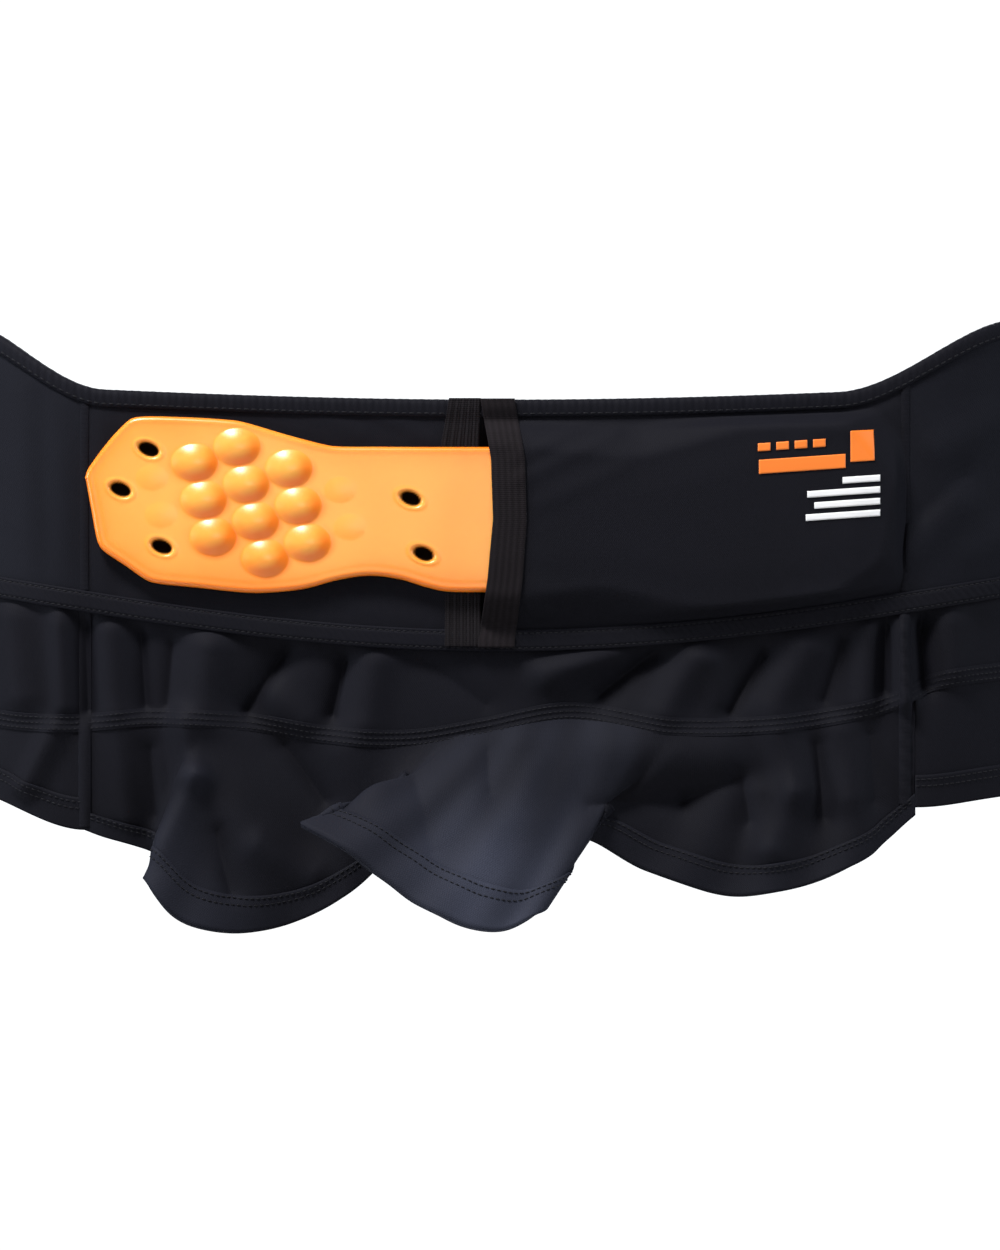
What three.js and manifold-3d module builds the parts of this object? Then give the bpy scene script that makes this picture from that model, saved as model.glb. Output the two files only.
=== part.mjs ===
// Padded impact shorts: short trunks with a wide double-layer waistband, shown turned inside out and
// standing open as if worn. The near side is the inner face of the back. Its waistband is two pockets
// that open towards each other at the centre back, and one long moulded pad bridges them: the right
// half sits in the right pocket and the left half lies free, in front of the left pocket.
//
// Millimetres. +X is the viewer's right, -Y faces the viewer, +Z is up.
// The origin is the middle of the back waistband's top edge.

import * as THREE from "three";
import { LoftGeometry } from "three/addons/geometries/LoftGeometry.js";
import { mergeVertices } from "three/addons/utils/BufferGeometryUtils.js";
import Module from "manifold-3d";

const wasm = await Module();
wasm.setup();

// ---------- driving dimensions ----------

// The waist ring seen from above: straight back and front, elliptical sides.
const FLAT_HALF = 168; // half length of the straight back
const SIDE_REACH = 54; // how far each rounded side stands past the straight
const DEPTH = 90; // back to front
const SEAM_AT = 166; // the side seams, measured along the back from its middle

// Heights of the horizontal lines at the centre back, below the top edge.
const BAND_HEIGHT = 96.4; // waistband, top edge to waist seam
const YOKE_HEIGHT = 35; // yoke, waist seam to yoke seam
const BAND_TOP_SMILE = 6; // how far each line rises towards the sides
const BAND_SEAM_SMILE = 20;
const YOKE_SMILE = 22;
const SIDE_PEAK = 30; // extra height of the top edge over the hips
const PEAK_FROM = 150; // where along X that rise starts
const FRONT_DROP = 14; // the front is cut this much lower than the back

const CLOTH = 1.2; // one layer of knit
const PANEL = 1.0; // the thinner pocket and facing knit
const GAP = 0.3; // between two sewn layers, and each side of a seam

// The pad.
const PAD_MIDDLE = -4.8; // X of the middle of the pad
const PAD_BASE = 4; // thickness of the plate
const PAD_BACK = -2.6; // Y of its rear face
const DOME_HEIGHT = 3;
const DOME_RADIUS = 8;
const FLEX_AT = -9; // X of the line that the free half bends about
const POCKET_DEPTH = 4.5; // room between the shell and the left pocket panel
const PAD_ROOM = 0.35; // between the domes and the right pocket panel

// Trims.
const BINDING_LEAF = 6.8; // depth of the binding folded over the top edge
const BINDING_WALL = 0.6;
const ELASTIC_HEIGHT = 3.5;
const SEAM_HALF = 3.5; // half width of a stitched seam
const POCKET_EDGE = 14; // width of the tape and the binding at the pocket mouths
const MOUTH_LEFT = -8; // X of the left pocket's edge
const MOUTH_RIGHT = -5; // X of the right pocket's edge at the top and bottom
const MOUTH_BOW = 5; // how far the pad bows that edge to the right
const POCKET_END = SEAM_AT - 4; // X where both pockets are sewn shut
const HEM_BAND = 13; // depth of the turned-up hem

// ---------- helpers ----------

const group = new THREE.Group();

function add(name, geometry, color, roughness = 0.9) {
  const material = new THREE.MeshStandardMaterial({ color, roughness, metalness: 0 });
  const mesh = new THREE.Mesh(geometry, material);
  mesh.name = name;
  group.add(mesh);
}

const KNIT = 0x1c1b22;
const TRIM = 0x221d24;
const ORANGE = 0xffa548;

const smooth = (t) => {
  const c = THREE.MathUtils.clamp(t, 0, 1);
  return c * c * (3 - 2 * c);
};
const lerp = THREE.MathUtils.lerp;
const steps = (a, b, n) => Array.from({ length: n + 1 }, (_, i) => lerp(a, b, i / n));

// The waist ring as a closed path in plan, starting and ending at the centre back.
const ring = new THREE.Path();
ring.moveTo(0, 0);
ring.lineTo(FLAT_HALF, 0);
ring.absellipse(FLAT_HALF, DEPTH / 2, SIDE_REACH, DEPTH / 2, -Math.PI / 2, Math.PI / 2);
ring.lineTo(-FLAT_HALF, DEPTH);
ring.absellipse(-FLAT_HALF, DEPTH / 2, SIDE_REACH, DEPTH / 2, Math.PI / 2, 1.5 * Math.PI);
ring.lineTo(0, 0);
const RING_LENGTH = ring.getLength();
const FRONT_MIDDLE = RING_LENGTH / 2;

// Place and outward normal at a distance s along the ring. Negative s runs to the left.
function around(s) {
  const share = (((s / RING_LENGTH) % 1) + 1) % 1;
  const p = ring.getPointAt(share);
  const t = ring.getTangentAt(share);
  return { x: p.x, y: p.y, nx: t.y, ny: -t.x };
}

// The horizontal lines of the garment, as heights over a place in plan.
const smile = (x) => 1 - Math.cos((Math.PI * x) / 400);
const frontness = (y) => smooth(y / DEPTH);
const topLine = (x, y) =>
  BAND_TOP_SMILE * smile(x) + SIDE_PEAK * smooth((Math.abs(x) - PEAK_FROM) / 65) - FRONT_DROP * frontness(y);
const waistLine = (x, y) => -BAND_HEIGHT + BAND_SEAM_SMILE * smile(x) + 4 * frontness(y);
const yokeLine = (x, y) => -BAND_HEIGHT - YOKE_HEIGHT + YOKE_SMILE * smile(x) + 6 * frontness(y);
const YOKE_MIDDLE = -BAND_HEIGHT - YOKE_HEIGHT;
const sideHem = (x, y) => {
  const left = lerp(-40.6, -25.6, smooth((-x - SEAM_AT) / 50));
  const right = lerp(-32.6, -25.6, smooth((x - SEAM_AT) / 50));
  const front = -38.6 + 10 * smile(x);
  return YOKE_MIDDLE + lerp(x < 0 ? left : right, front, frontness(y));
};

// A closed solid from cross sections, each a closed outline with the same number of points.
// The outlines are turned so that the solid faces out, whichever way round they are given.
function loft(sections) {
  const [first, second] = sections;
  const normal = new THREE.Vector3();
  first.forEach((p, i) => {
    const next = first[(i + 1) % first.length];
    const edge = next.clone().sub(first[0]);
    normal.add(p.clone().sub(first[0]).cross(edge));
  });
  const middle = (outline) =>
    outline.reduce((sum, p) => sum.add(p), new THREE.Vector3()).divideScalar(outline.length);
  const along = middle(second).sub(middle(first));
  const facing = normal.dot(along) > 0 ? sections : sections.map((outline) => [...outline].reverse());
  return new LoftGeometry(facing, { capStart: true, capEnd: true });
}

// A sheet of cloth of even thickness about a surface(u, v), as one closed solid: a grid for each
// face and a strip round the edge. It faces the way u x v points, and offset is measured that way.
function sheet(surface, us, vs, thickness, offset = 0) {
  const e = 0.05;
  const at = (u, v) => new THREE.Vector3(...surface(u, v));
  const [faces, backs] = [[], []];
  for (const u of us) {
    for (const v of vs) {
      const du = at(u + e, v).sub(at(u - e, v));
      const dv = at(u, v + e).sub(at(u, v - e));
      const n = du.cross(dv).normalize();
      faces.push(...at(u, v).addScaledVector(n, offset + thickness / 2));
      backs.push(...at(u, v).addScaledVector(n, offset - thickness / 2));
    }
  }
  const rows = vs.length;
  const behind = us.length * rows;
  const index = [];
  const quad = (p, q, r, t) => index.push(p, q, r, p, r, t);
  for (let i = 0; i + 1 < us.length; i++) {
    for (let j = 0; j + 1 < rows; j++) {
      const k = i * rows + j;
      quad(k, k + rows, k + rows + 1, k + 1);
      quad(behind + k, behind + k + 1, behind + k + rows + 1, behind + k + rows);
    }
    const [low, high] = [i * rows, i * rows + rows - 1];
    quad(low, behind + low, behind + low + rows, low + rows);
    quad(high, high + rows, behind + high + rows, behind + high);
  }
  for (let j = 0; j + 1 < rows; j++) {
    const last = behind - rows + j;
    quad(j, j + 1, behind + j + 1, behind + j);
    quad(last, behind + last, behind + last + 1, last + 1);
  }
  const g = new THREE.BufferGeometry();
  g.setAttribute("position", new THREE.Float32BufferAttribute([...faces, ...backs], 3));
  g.setIndex(index);
  return g;
}

// A trim of constant section that follows a line of the garment. Section points are
// [outward, up] from the ring and the line.
function trim(section, line, stations) {
  const sections = stations.map((s) => {
    const a = around(s);
    const z = line(a.x, a.y);
    return section.map(([out, up]) => new THREE.Vector3(a.x + a.nx * out, a.y + a.ny * out, z + up));
  });
  return loft(sections);
}

// A piece of the ring wall between two lines, with its mid surface a set distance outwards.
// v runs in millimetres up from the lower line, stretched to reach the upper one.
function wall(stations, lower, upper, low, high, rows, thickness, outward, bulge = () => 0) {
  const span = 100;
  const surface = (s, v) => {
    const a = around(s);
    const z0 = lower(a.x, a.y) + low;
    const z1 = upper(a.x, a.y) + high;
    const z = lerp(z0, z1, v / span);
    const out = outward + bulge(a.x, z, z - z0, z1 - z);
    return [a.x + a.nx * out, a.y + a.ny * out, z];
  };
  return sheet(surface, stations, rows.map((r) => r * span), thickness);
}

// manifold-3d solids from three.js geometries, and back.
function manifoldOf(geometry) {
  const g = geometry.clone();
  g.deleteAttribute("normal");
  g.deleteAttribute("uv");
  const merged = mergeVertices(g, 1e-4);
  return new wasm.Manifold(
    new wasm.Mesh({
      numProp: 3,
      vertProperties: new Float32Array(merged.attributes.position.array),
      triVerts: new Uint32Array(merged.index.array),
    }),
  );
}

function geometryOf(manifold) {
  const m = manifold.getMesh();
  const g = new THREE.BufferGeometry();
  g.setAttribute("position", new THREE.BufferAttribute(m.vertProperties, 3));
  g.setIndex(new THREE.BufferAttribute(m.triVerts, 1));
  return g;
}

// ---------- the four parts of the ring ----------

// Each is a list of distances along the ring. Every layer uses the same ones, so that neighbours
// keep their distance all the way along.
const BACK = steps(-SEAM_AT + GAP, SEAM_AT - GAP, 20);
const RIGHT = steps(SEAM_AT + GAP, FRONT_MIDDLE - SEAM_AT - GAP, 12);
const LEFT = steps(-FRONT_MIDDLE + SEAM_AT + GAP, -SEAM_AT - GAP, 12);
const FRONT = steps(FRONT_MIDDLE - SEAM_AT + GAP, FRONT_MIDDLE + SEAM_AT - GAP, 10);
const SIDES = [
  ["right", RIGHT],
  ["left", LEFT],
];
const RINGS = [["back", BACK], ["front", FRONT], ...SIDES];

// The same stations without the ends, where a seam crosses.
const shortened = (stations, by) => {
  const [from, to] = [stations[0] + by, stations.at(-1) - by];
  return [from, ...stations.filter((s) => s > from + 1 && s < to - 1), to];
};

// ---------- waistband shell ----------
// The outer knit of the shorts, which is inside the ring because the shorts are inside out.
// At the back it swells inwards to make room for the pad.

const BULGE_RAMP = 12;
const EVEN_ROWS = [0, 0.5, 1];
const PILLOW_ROWS = [0, 0.06, 0.12, 0.2, 0.5, 0.8, 0.88, 0.94, 1];
const TOP_TUCK = -1.2; // the shell's edge lies just under the binding's crown

function pillow(x, below, above, ramp) {
  const ends = smooth((POCKET_END - Math.abs(x)) / ramp);
  return smooth((below - SEAM_HALF) / ramp) * smooth((above - BINDING_LEAF - 0.7) / ramp) * ends;
}

add(
  "back_waistband_shell",
  wall(BACK, waistLine, topLine, GAP, TOP_TUCK, PILLOW_ROWS, CLOTH, -CLOTH / 2, (x, z, below, above) =>
    -POCKET_DEPTH * pillow(x, below, above, BULGE_RAMP),
  ),
  KNIT,
);
for (const [place, stations] of RINGS.slice(1)) {
  add(
    `${place}_waistband_shell`,
    wall(stations, waistLine, topLine, GAP, TOP_TUCK, EVEN_ROWS, CLOTH, -CLOTH / 2),
    KNIT,
  );
}

// ---------- waistband facings: the inner layer over the sides and the front ----------

const FACING_OUT = GAP + PANEL / 2;
const FACING_TOP = -ELASTIC_HEIGHT - 1.8;

for (const [place, stations] of RINGS.slice(1)) {
  add(
    `${place}_facing`,
    wall(stations, waistLine, topLine, GAP, FACING_TOP, EVEN_ROWS, PANEL, FACING_OUT),
    KNIT,
  );
}

// ---------- pocket panels at the back ----------

// The left panel lies flat. Its mouth is its right edge.
const LEFT_POCKET = [...BACK.filter((s) => s < MOUTH_LEFT - 1), MOUTH_LEFT];
add(
  "left_pocket_panel",
  wall(LEFT_POCKET, waistLine, topLine, GAP, FACING_TOP, EVEN_ROWS, PANEL, FACING_OUT),
  KNIT,
);

// The right panel stands off to clear the pad's domes. u runs from its mouth to its end.
const RIGHT_LIFT = -PAD_BACK + PAD_BASE + DOME_HEIGHT + PAD_ROOM + CLOTH / 2;
const PAD_RAMP = 6;

const mouthAt = (share) => MOUTH_RIGHT + MOUTH_BOW * Math.sin(Math.PI * share);

function rightPanel(u, v) {
  const share = v / 100;
  const x = lerp(mouthAt(share), SEAM_AT - GAP, u / 100);
  const z0 = waistLine(x, 0) + GAP;
  const z1 = topLine(x, 0) + FACING_TOP;
  const z = lerp(z0, z1, share);
  const edge = GAP + CLOTH / 2;
  const rise = pillow(x, z - z0, topLine(x, 0) - z, PAD_RAMP);
  return [x, -edge - (RIGHT_LIFT - edge) * rise, z];
}

const RAMP_UP = [0.0385, 0.055, 0.072, 0.088, 0.105];
const RAMP_DOWN = [0.91, 0.926, 0.943, 0.959, 0.976];
const MOUTH_ROWS = [...RAMP_UP, 0.3, 0.5, 0.7, ...RAMP_DOWN];
const POCKET_ROWS = [0, ...MOUTH_ROWS, 1];
const rowsOf = (rows) => rows.map((r) => r * 100);
const RIGHT_COLUMNS = [0, 8, 25, 45, 65, 80, 92, 94, 96, 97.5, 100];
add("right_pocket_panel", sheet(rightPanel, RIGHT_COLUMNS, rowsOf(POCKET_ROWS), CLOTH), KNIT);

// The left mouth: a coverstitched tape in front of the panel's edge.
const TAPE = 0.7;
const tapeY = -(GAP + PANEL + 0.25 + TAPE / 2);
function leftTape(u, v) {
  const x = MOUTH_LEFT - POCKET_EDGE + u;
  const z0 = waistLine(x, 0) + SEAM_HALF + GAP;
  const z1 = topLine(x, 0) - BINDING_LEAF - GAP;
  return [x, tapeY, lerp(z0, z1, v / 100)];
}
add("left_pocket_edge_tape", sheet(leftTape, [0, POCKET_EDGE], [0, 50, 100], TAPE), TRIM);

// The right mouth: a binding that laps the panel's face and turns round its edge.
// Section points are [to the right, towards the viewer] from the middle of the panel's edge.
const FACE = CLOTH / 2 + GAP;
const mouthSection = [
  [-1.1, FACE + BINDING_WALL],
  [POCKET_EDGE - 1.1, FACE + BINDING_WALL],
  [POCKET_EDGE - 1.1, FACE],
  [-GAP, FACE],
  [-GAP, -CLOTH / 2],
  [-1.1, -CLOTH / 2],
];
const mouthSections = rowsOf(MOUTH_ROWS.slice(1)).map((v) => {
  const p = new THREE.Vector3(...rightPanel(0, v));
  const [, y0, z0] = rightPanel(0, v - 1);
  const [, y1, z1] = rightPanel(0, v + 1);
  const out = new THREE.Vector3(0, z0 - z1, y1 - y0).normalize();
  return mouthSection.map(([dx, dn]) => p.clone().addScaledVector(out, dn).add(new THREE.Vector3(dx, 0, 0)));
});
add("right_pocket_binding", loft(mouthSections), TRIM);

// ---------- printed size mark, a thin transfer film on the right pocket panel ----------

const FILM = 0.2;
const [FILM_X0, FILM_X1] = [101, 152];
const [FILM_Z0, FILM_Z1] = [-48, -10];
function filmPlace(u, v) {
  const x = u;
  const z = v + 0.07 * (x - FILM_X1);
  const width = lerp(0, 1, (x - MOUTH_RIGHT - MOUTH_BOW) / (SEAM_AT - GAP - MOUTH_RIGHT - MOUTH_BOW));
  const z0 = waistLine(x, 0) + GAP;
  const z1 = topLine(x, 0) + FACING_TOP;
  const [, y] = rightPanel(width * 100, ((z - z0) / (z1 - z0)) * 100);
  return [x, y, z];
}
add(
  "size_transfer",
  sheet(filmPlace, steps(FILM_X0, FILM_X1, 6), steps(FILM_Z0, FILM_Z1, 5), FILM, CLOTH / 2 + GAP + FILM / 2),
  0xf0e8e0,
);

// ---------- top binding and the elastic inside it ----------

const BINDING_IN = -CLOTH - GAP; // rear leaf, behind the shell
const BINDING_OUT = GAP + CLOTH + GAP; // face leaf, in front of the facings and pocket panels
const bindingSection = [
  [BINDING_IN - BINDING_WALL, -BINDING_LEAF],
  [BINDING_IN - BINDING_WALL, 0],
  [BINDING_OUT + BINDING_WALL, 0],
  [BINDING_OUT + BINDING_WALL, -BINDING_LEAF],
  [BINDING_OUT, -BINDING_LEAF],
  [BINDING_OUT, -BINDING_WALL],
  [BINDING_IN, -BINDING_WALL],
  [BINDING_IN, -BINDING_LEAF],
];
for (const [place, stations] of RINGS) {
  add(`${place}_top_binding`, trim(bindingSection, topLine, stations), TRIM);
}

// The elastic is one loop that closes at the centre front.
const elasticSection = [
  [GAP, -1.2 - ELASTIC_HEIGHT],
  [GAP, -1.2],
  [GAP + PANEL, -1.2],
  [GAP + PANEL, -1.2 - ELASTIC_HEIGHT],
];
const fromFront = FRONT.map((s) => s - RING_LENGTH).filter((s) => s > -FRONT_MIDDLE + 1);
const toFront = FRONT.filter((s) => s < FRONT_MIDDLE - 1);
const loop = [-FRONT_MIDDLE + GAP, ...fromFront, ...LEFT, ...BACK, ...RIGHT, ...toFront, FRONT_MIDDLE - GAP];
add("waist_elastic", trim(elasticSection, topLine, loop), 0xe8e4dc);

// ---------- waist seam: a raised, twin-stitched ridge under the band ----------

const waistSeamSection = [
  [GAP + CLOTH + GAP, SEAM_HALF],
  [GAP + CLOTH + GAP, -GAP],
  [GAP, -GAP],
  [GAP, -SEAM_HALF],
  [GAP + CLOTH + 1.2, -SEAM_HALF],
  [GAP + CLOTH + 1.2, SEAM_HALF],
];
for (const [place, stations] of RINGS) {
  add(`${place}_waist_seam`, trim(waistSeamSection, waistLine, stations), TRIM);
}

// ---------- yoke: the ring of knit between the waist seam and the yoke seam ----------

const SHELL_MID = -CLOTH / 2;
for (const [place, stations] of RINGS) {
  add(
    `${place}_yoke`,
    wall(stations, yokeLine, waistLine, GAP, -GAP, EVEN_ROWS, CLOTH, SHELL_MID),
    KNIT,
  );
}

const YOKE_TAPE = 0.6;
const yokeSeamSection = [
  [GAP, SEAM_HALF],
  [GAP, -SEAM_HALF],
  [GAP + YOKE_TAPE, -SEAM_HALF],
  [GAP + YOKE_TAPE, SEAM_HALF],
];
const CROSSING = SEAM_HALF + 2 * GAP; // the yoke seam stops short of the upright seams
for (const [place, stations] of RINGS.slice(1)) {
  add(`${place}_yoke_seam`, trim(yokeSeamSection, yokeLine, shortened(stations, CROSSING)), TRIM);
}

// ---------- back panel: hangs from the yoke in folds ----------

// Its hem, from the left seam to the right one, as [x, y, height over the yoke seam]. The cloth is fuller than the yoke, so it doubles
// back twice on the left, at a side fold and behind the flap in the middle, and once on the right.
const hemCurve = new THREE.CatmullRomCurve3(
  [
    [-SEAM_AT, 0.6, -40.6],
    [-158, 0.8, -43.6],
    [-148, 2, -46.6],
    [-131, 3, -52.6],
    [-120, 0, -56.6],
    [-122, -9, -59.6],
    [-133, -14, -58.6],
    [-139, -20, -59.6],
    [-133, -26, -68.6],
    [-122, -25, -76.6],
    [-106, -18, -80.6],
    [-84, -9, -77.6],
    [-63, -4, -67.6],
    [-47, -3, -53.6],
    [-41, -9, -44.6],
    [-52, -18, -38.6],
    [-70, -25, -35.6],
    [-78, -32, -36.6],
    [-68, -38, -42.6],
    [-48, -41, -55.6],
    [-25, -43, -71.6],
    [-7, -42, -77.6],
    [9, -38, -74.6],
    [17, -31, -68.6],
    [19, -21, -60.6],
    [20, -12, -51.6],
    [31, -6, -43.6],
    [58, -5, -56.6],
    [94, -8, -66.6],
    [126, -9, -60.6],
    [147, -6, -50.6],
    [158, 0.4, -41.6],
    [SEAM_AT, 0.6, -34.6],
  ].map(([x, y, below]) => new THREE.Vector3(x, y, YOKE_MIDDLE + below)),
  false,
  "centripetal",
);

// u and v run to 100: u along the hem, v up from the hem to the yoke seam. The first BAND of v is
// the depth of the turned-up hem.
const BAND = 20;
function backPanel(u, v) {
  const along = THREE.MathUtils.clamp(u / 100, 0, 1);
  const hem = hemCurve.getPointAt(along);
  const x = lerp(-SEAM_AT + GAP, SEAM_AT - GAP, along);
  const top = new THREE.Vector3(x, CLOTH / 2, yokeLine(x, 0) - GAP);
  const turned = HEM_BAND / top.distanceTo(hem);
  const up = v < BAND ? (v / BAND) * turned : lerp(turned, 1, (v - BAND) / (100 - BAND));
  const swing = Math.pow(1 - Math.min(up, 1), 1.45);
  return [lerp(top.x, hem.x, swing), lerp(top.y, hem.y, swing), lerp(hem.z, top.z, up)];
}

// Columns no more than 14 mm apart, and closer where the hem turns sharply.
function hemColumns() {
  const columns = [0.3];
  const fine = steps(0.3, 99.7, 600);
  const heading = (u) => hemCurve.getTangentAt(u / 100);
  for (const u of fine) {
    const last = columns.at(-1);
    const turn = heading(u).angleTo(heading(last));
    const far = ((u - last) / 100) * hemCurve.getLength();
    if (turn > 0.33 || far > 14) columns.push(u);
  }
  return [...columns.filter((u) => u < 99), 99.7];
}
const HEM_COLUMNS = hemColumns();
const FOLD_CLOTH = 1.0;
const HEM_TAPE = 0.6;
add("back_panel", sheet(backPanel, HEM_COLUMNS, [0, BAND, 40, 60, 80, 93, 99], FOLD_CLOTH), KNIT);

const hemOut = FOLD_CLOTH / 2 + GAP + HEM_TAPE / 2;
add("back_hem", sheet(backPanel, HEM_COLUMNS, [1, BAND], HEM_TAPE, hemOut), KNIT);

add(
  "back_yoke_seam",
  loft(
    shortened(BACK, CROSSING).map((s) => {
      const z = yokeLine(s, 0);
      return yokeSeamSection.map(([out, up]) => new THREE.Vector3(s, -out - 1.3 * smooth(-up / 7), z + up));
    }),
  ),
  TRIM,
);

// ---------- side and front panels ----------

for (const [place, stations] of RINGS.slice(1)) {
  add(
    `${place}_panel`,
    wall(stations, sideHem, yokeLine, 0, -GAP, EVEN_ROWS, CLOTH, SHELL_MID),
    KNIT,
  );
  add(
    `${place}_hem`,
    wall(stations, sideHem, sideHem, 0.5, HEM_BAND, [0, 1], HEM_TAPE, GAP + HEM_TAPE / 2),
    KNIT,
  );
}

// ---------- upright seams ----------

const UPRIGHTS = [
  ["back_right", SEAM_AT],
  ["back_left", -SEAM_AT],
  ["front_right", FRONT_MIDDLE - SEAM_AT],
  ["front_left", FRONT_MIDDLE + SEAM_AT],
];
const SEAM_ACROSS = [-SEAM_HALF, 0, SEAM_HALF];

for (const [place, at] of UPRIGHTS) {
  // u runs across the seam, v up it, between two lines.
  const strip = (low, high, outward) => (u, v) => {
    const a = around(at + u);
    return [a.x + a.nx * outward, a.y + a.ny * outward, lerp(low(a.x, a.y), high(a.x, a.y), v / 100)];
  };
  const overBand = strip(
    (x, y) => waistLine(x, y) + SEAM_HALF + GAP,
    (x, y) => topLine(x, y) - BINDING_LEAF - GAP,
    GAP + CLOTH + GAP + 0.25,
  );
  add(`${place}_band_seam`, sheet(overBand, SEAM_ACROSS, [0, 50, 100], 0.5), TRIM);
  const below = strip(
    (x, y) => sideHem(x, y) + HEM_BAND + 1.5,
    (x, y) => waistLine(x, y) - SEAM_HALF - GAP,
    GAP + YOKE_TAPE / 2,
  );
  add(`${place}_seam`, sheet(below, SEAM_ACROSS, [0, 50, 100], YOKE_TAPE), TRIM);
}

// ---------- gusset between the legs, from the back flap to the front panel ----------

const GUSSET_FROM = -26;
const GUSSET_WIDTH = 28;
const gussetLine = new THREE.CatmullRomCurve3(
  [
    [-32.6, -67.6],
    [-22, -68.6],
    [10, -63.6],
    [50, -49.6],
    [75, -36.6],
    [DEPTH - CLOTH - GAP, -30.6],
  ].map(([y, below]) => new THREE.Vector3(0, y, YOKE_MIDDLE + below)),
);
function gusset(u, v) {
  const p = gussetLine.getPoint(THREE.MathUtils.clamp(v / 100, 0, 1));
  return [u, p.y, p.z];
}
add("gusset", sheet(gusset, [GUSSET_FROM, GUSSET_FROM + GUSSET_WIDTH], steps(0.5, 99.5, 10), CLOTH), KNIT);

// ---------- the pad ----------

// Left half of the outline, from the tip round the top to the middle, then the bottom back to the tip.
const PAD_TOP = [
  [-164.8, -36],
  [-162, -20],
  [-151, -8.6],
  [-130, -7.2],
  [-104, -8.8],
  [-84, -12.5],
  [-64, -17.4],
  [-40, -18.8],
  [-20, -18.8],
];
const PAD_BOTTOM = [
  [-20, -77],
  [-30, -75.4],
  [-47, -70.6],
  [-62, -71],
  [-78, -75.6],
  [-96, -77.2],
  [-120, -76.4],
  [-142, -73],
  [-155, -66],
  [-162, -52],
];
const INSERTED_LOWER = 4.8; // the half inside the pocket sits this much lower

const mirrored = ([x, z]) => {
  const across = 2 * PAD_MIDDLE - x;
  return [across, z - INSERTED_LOWER * smooth((across - PAD_MIDDLE) / 60)];
};

const padOutline = [
  ...PAD_TOP,
  ...PAD_TOP.map(mirrored).reverse(),
  ...PAD_BOTTOM.map(mirrored).reverse(),
  ...PAD_BOTTOM,
];

const DOME_AT = [-99.2, -41.2];
const COLUMN_STEP = [18.8, -1.2];
const ROW_STEP = [3.7, -14.8];
// [column, row, height as a share of the full dome]
const DOMES = [
  ...[-1, 1].flatMap((i) => [-1, 0, 1].map((j) => [i, j, 1])),
  ...[-1.5, -0.5, 0.5, 1.5].map((j) => [0, j, 1]),
  ...[-2, 2].flatMap((i) => [-0.5, 0.5].map((j) => [i, j, 0.5])),
];
const domePlace = ([i, j]) => [
  DOME_AT[0] + i * COLUMN_STEP[0] + j * ROW_STEP[0],
  DOME_AT[1] + i * COLUMN_STEP[1] + j * ROW_STEP[1],
];

const VENTS = [
  [-140, -20],
  [-151.2, -36],
  [-134.8, -58.8],
  [-35.6, -39.6],
  [-30.4, -61.6],
];
const VENT_LONG = 4.4;
const VENT_SHORT = 2.8;
const VENT_TILT = THREE.MathUtils.degToRad(22);

const padFront = PAD_BACK - PAD_BASE;
// Turns a solid drawn in XY and extruded along +Z into one drawn in XZ and facing the viewer.
const upright = (geometry, y) => geometry.rotateX(Math.PI / 2).translate(0, y, 0);

function padPlate() {
  const curve = new THREE.CatmullRomCurve3(
    padOutline.map(([x, z]) => new THREE.Vector3(x, z, 0)),
    true,
    "centripetal",
  );
  const shape = new THREE.Shape(curve.getSpacedPoints(84).map((p) => new THREE.Vector2(p.x, p.y)));
  const bevel = 1.2;
  const plate = new THREE.ExtrudeGeometry(shape, {
    depth: PAD_BASE - 2 * bevel,
    bevelThickness: bevel,
    bevelSize: bevel,
    bevelOffset: -bevel,
    bevelSegments: 1,
    curveSegments: 1,
  });
  return upright(plate.translate(0, 0, bevel), PAD_BACK);
}

// A dome of the given height, sunk 1 mm into the plate.
function dome([x, z], height) {
  const radius = (DOME_RADIUS ** 2 + height ** 2) / (2 * height);
  const arc = steps(Math.asin(DOME_RADIUS / radius), 0, 2).map(
    (t) => new THREE.Vector2(radius * Math.sin(t), radius * Math.cos(t) - radius + height),
  );
  const foot = [new THREE.Vector2(0, -1), new THREE.Vector2(DOME_RADIUS, -1)];
  const turned = new THREE.LatheGeometry([...foot, ...arc.slice(0, -1), new THREE.Vector2(0, height)], 10);
  return turned.rotateX(Math.PI).translate(x, padFront, z);
}

function vent([x, z], tilt) {
  const hole = new THREE.CylinderGeometry(1, 1, 2 * PAD_BASE, 10).scale(VENT_LONG, 1, VENT_SHORT);
  return hole.rotateY(tilt).translate(x, PAD_BACK - PAD_BASE / 2, z);
}

const both = (places) => [...places, ...places.map(mirrored)];
const domes = DOMES.flatMap((d) => both([domePlace(d)]).map((place) => dome(place, DOME_HEIGHT * d[2])));
const vents = [
  ...VENTS.map((place) => vent(place, VENT_TILT)),
  ...VENTS.map((place) => vent(mirrored(place), -VENT_TILT)),
];
const pad = [padPlate(), ...domes]
  .map(manifoldOf)
  .reduce((whole, piece) => whole.add(piece))
  .subtract(vents.map(manifoldOf).reduce((all, hole) => all.add(hole)));

// One moulding in two rigid parts that meet at the line it bends about.
function padSide(from, to) {
  const room = new THREE.BoxGeometry(to - from, 60, 200).translate((from + to) / 2, padFront, -45);
  return geometryOf(pad.intersect(manifoldOf(room)));
}
add("pad_free_half", padSide(-250, FLEX_AT - GAP / 2), ORANGE, 0.45);
add("pad_inserted_half", padSide(FLEX_AT + GAP / 2, 250), ORANGE, 0.45);

export default group;
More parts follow.
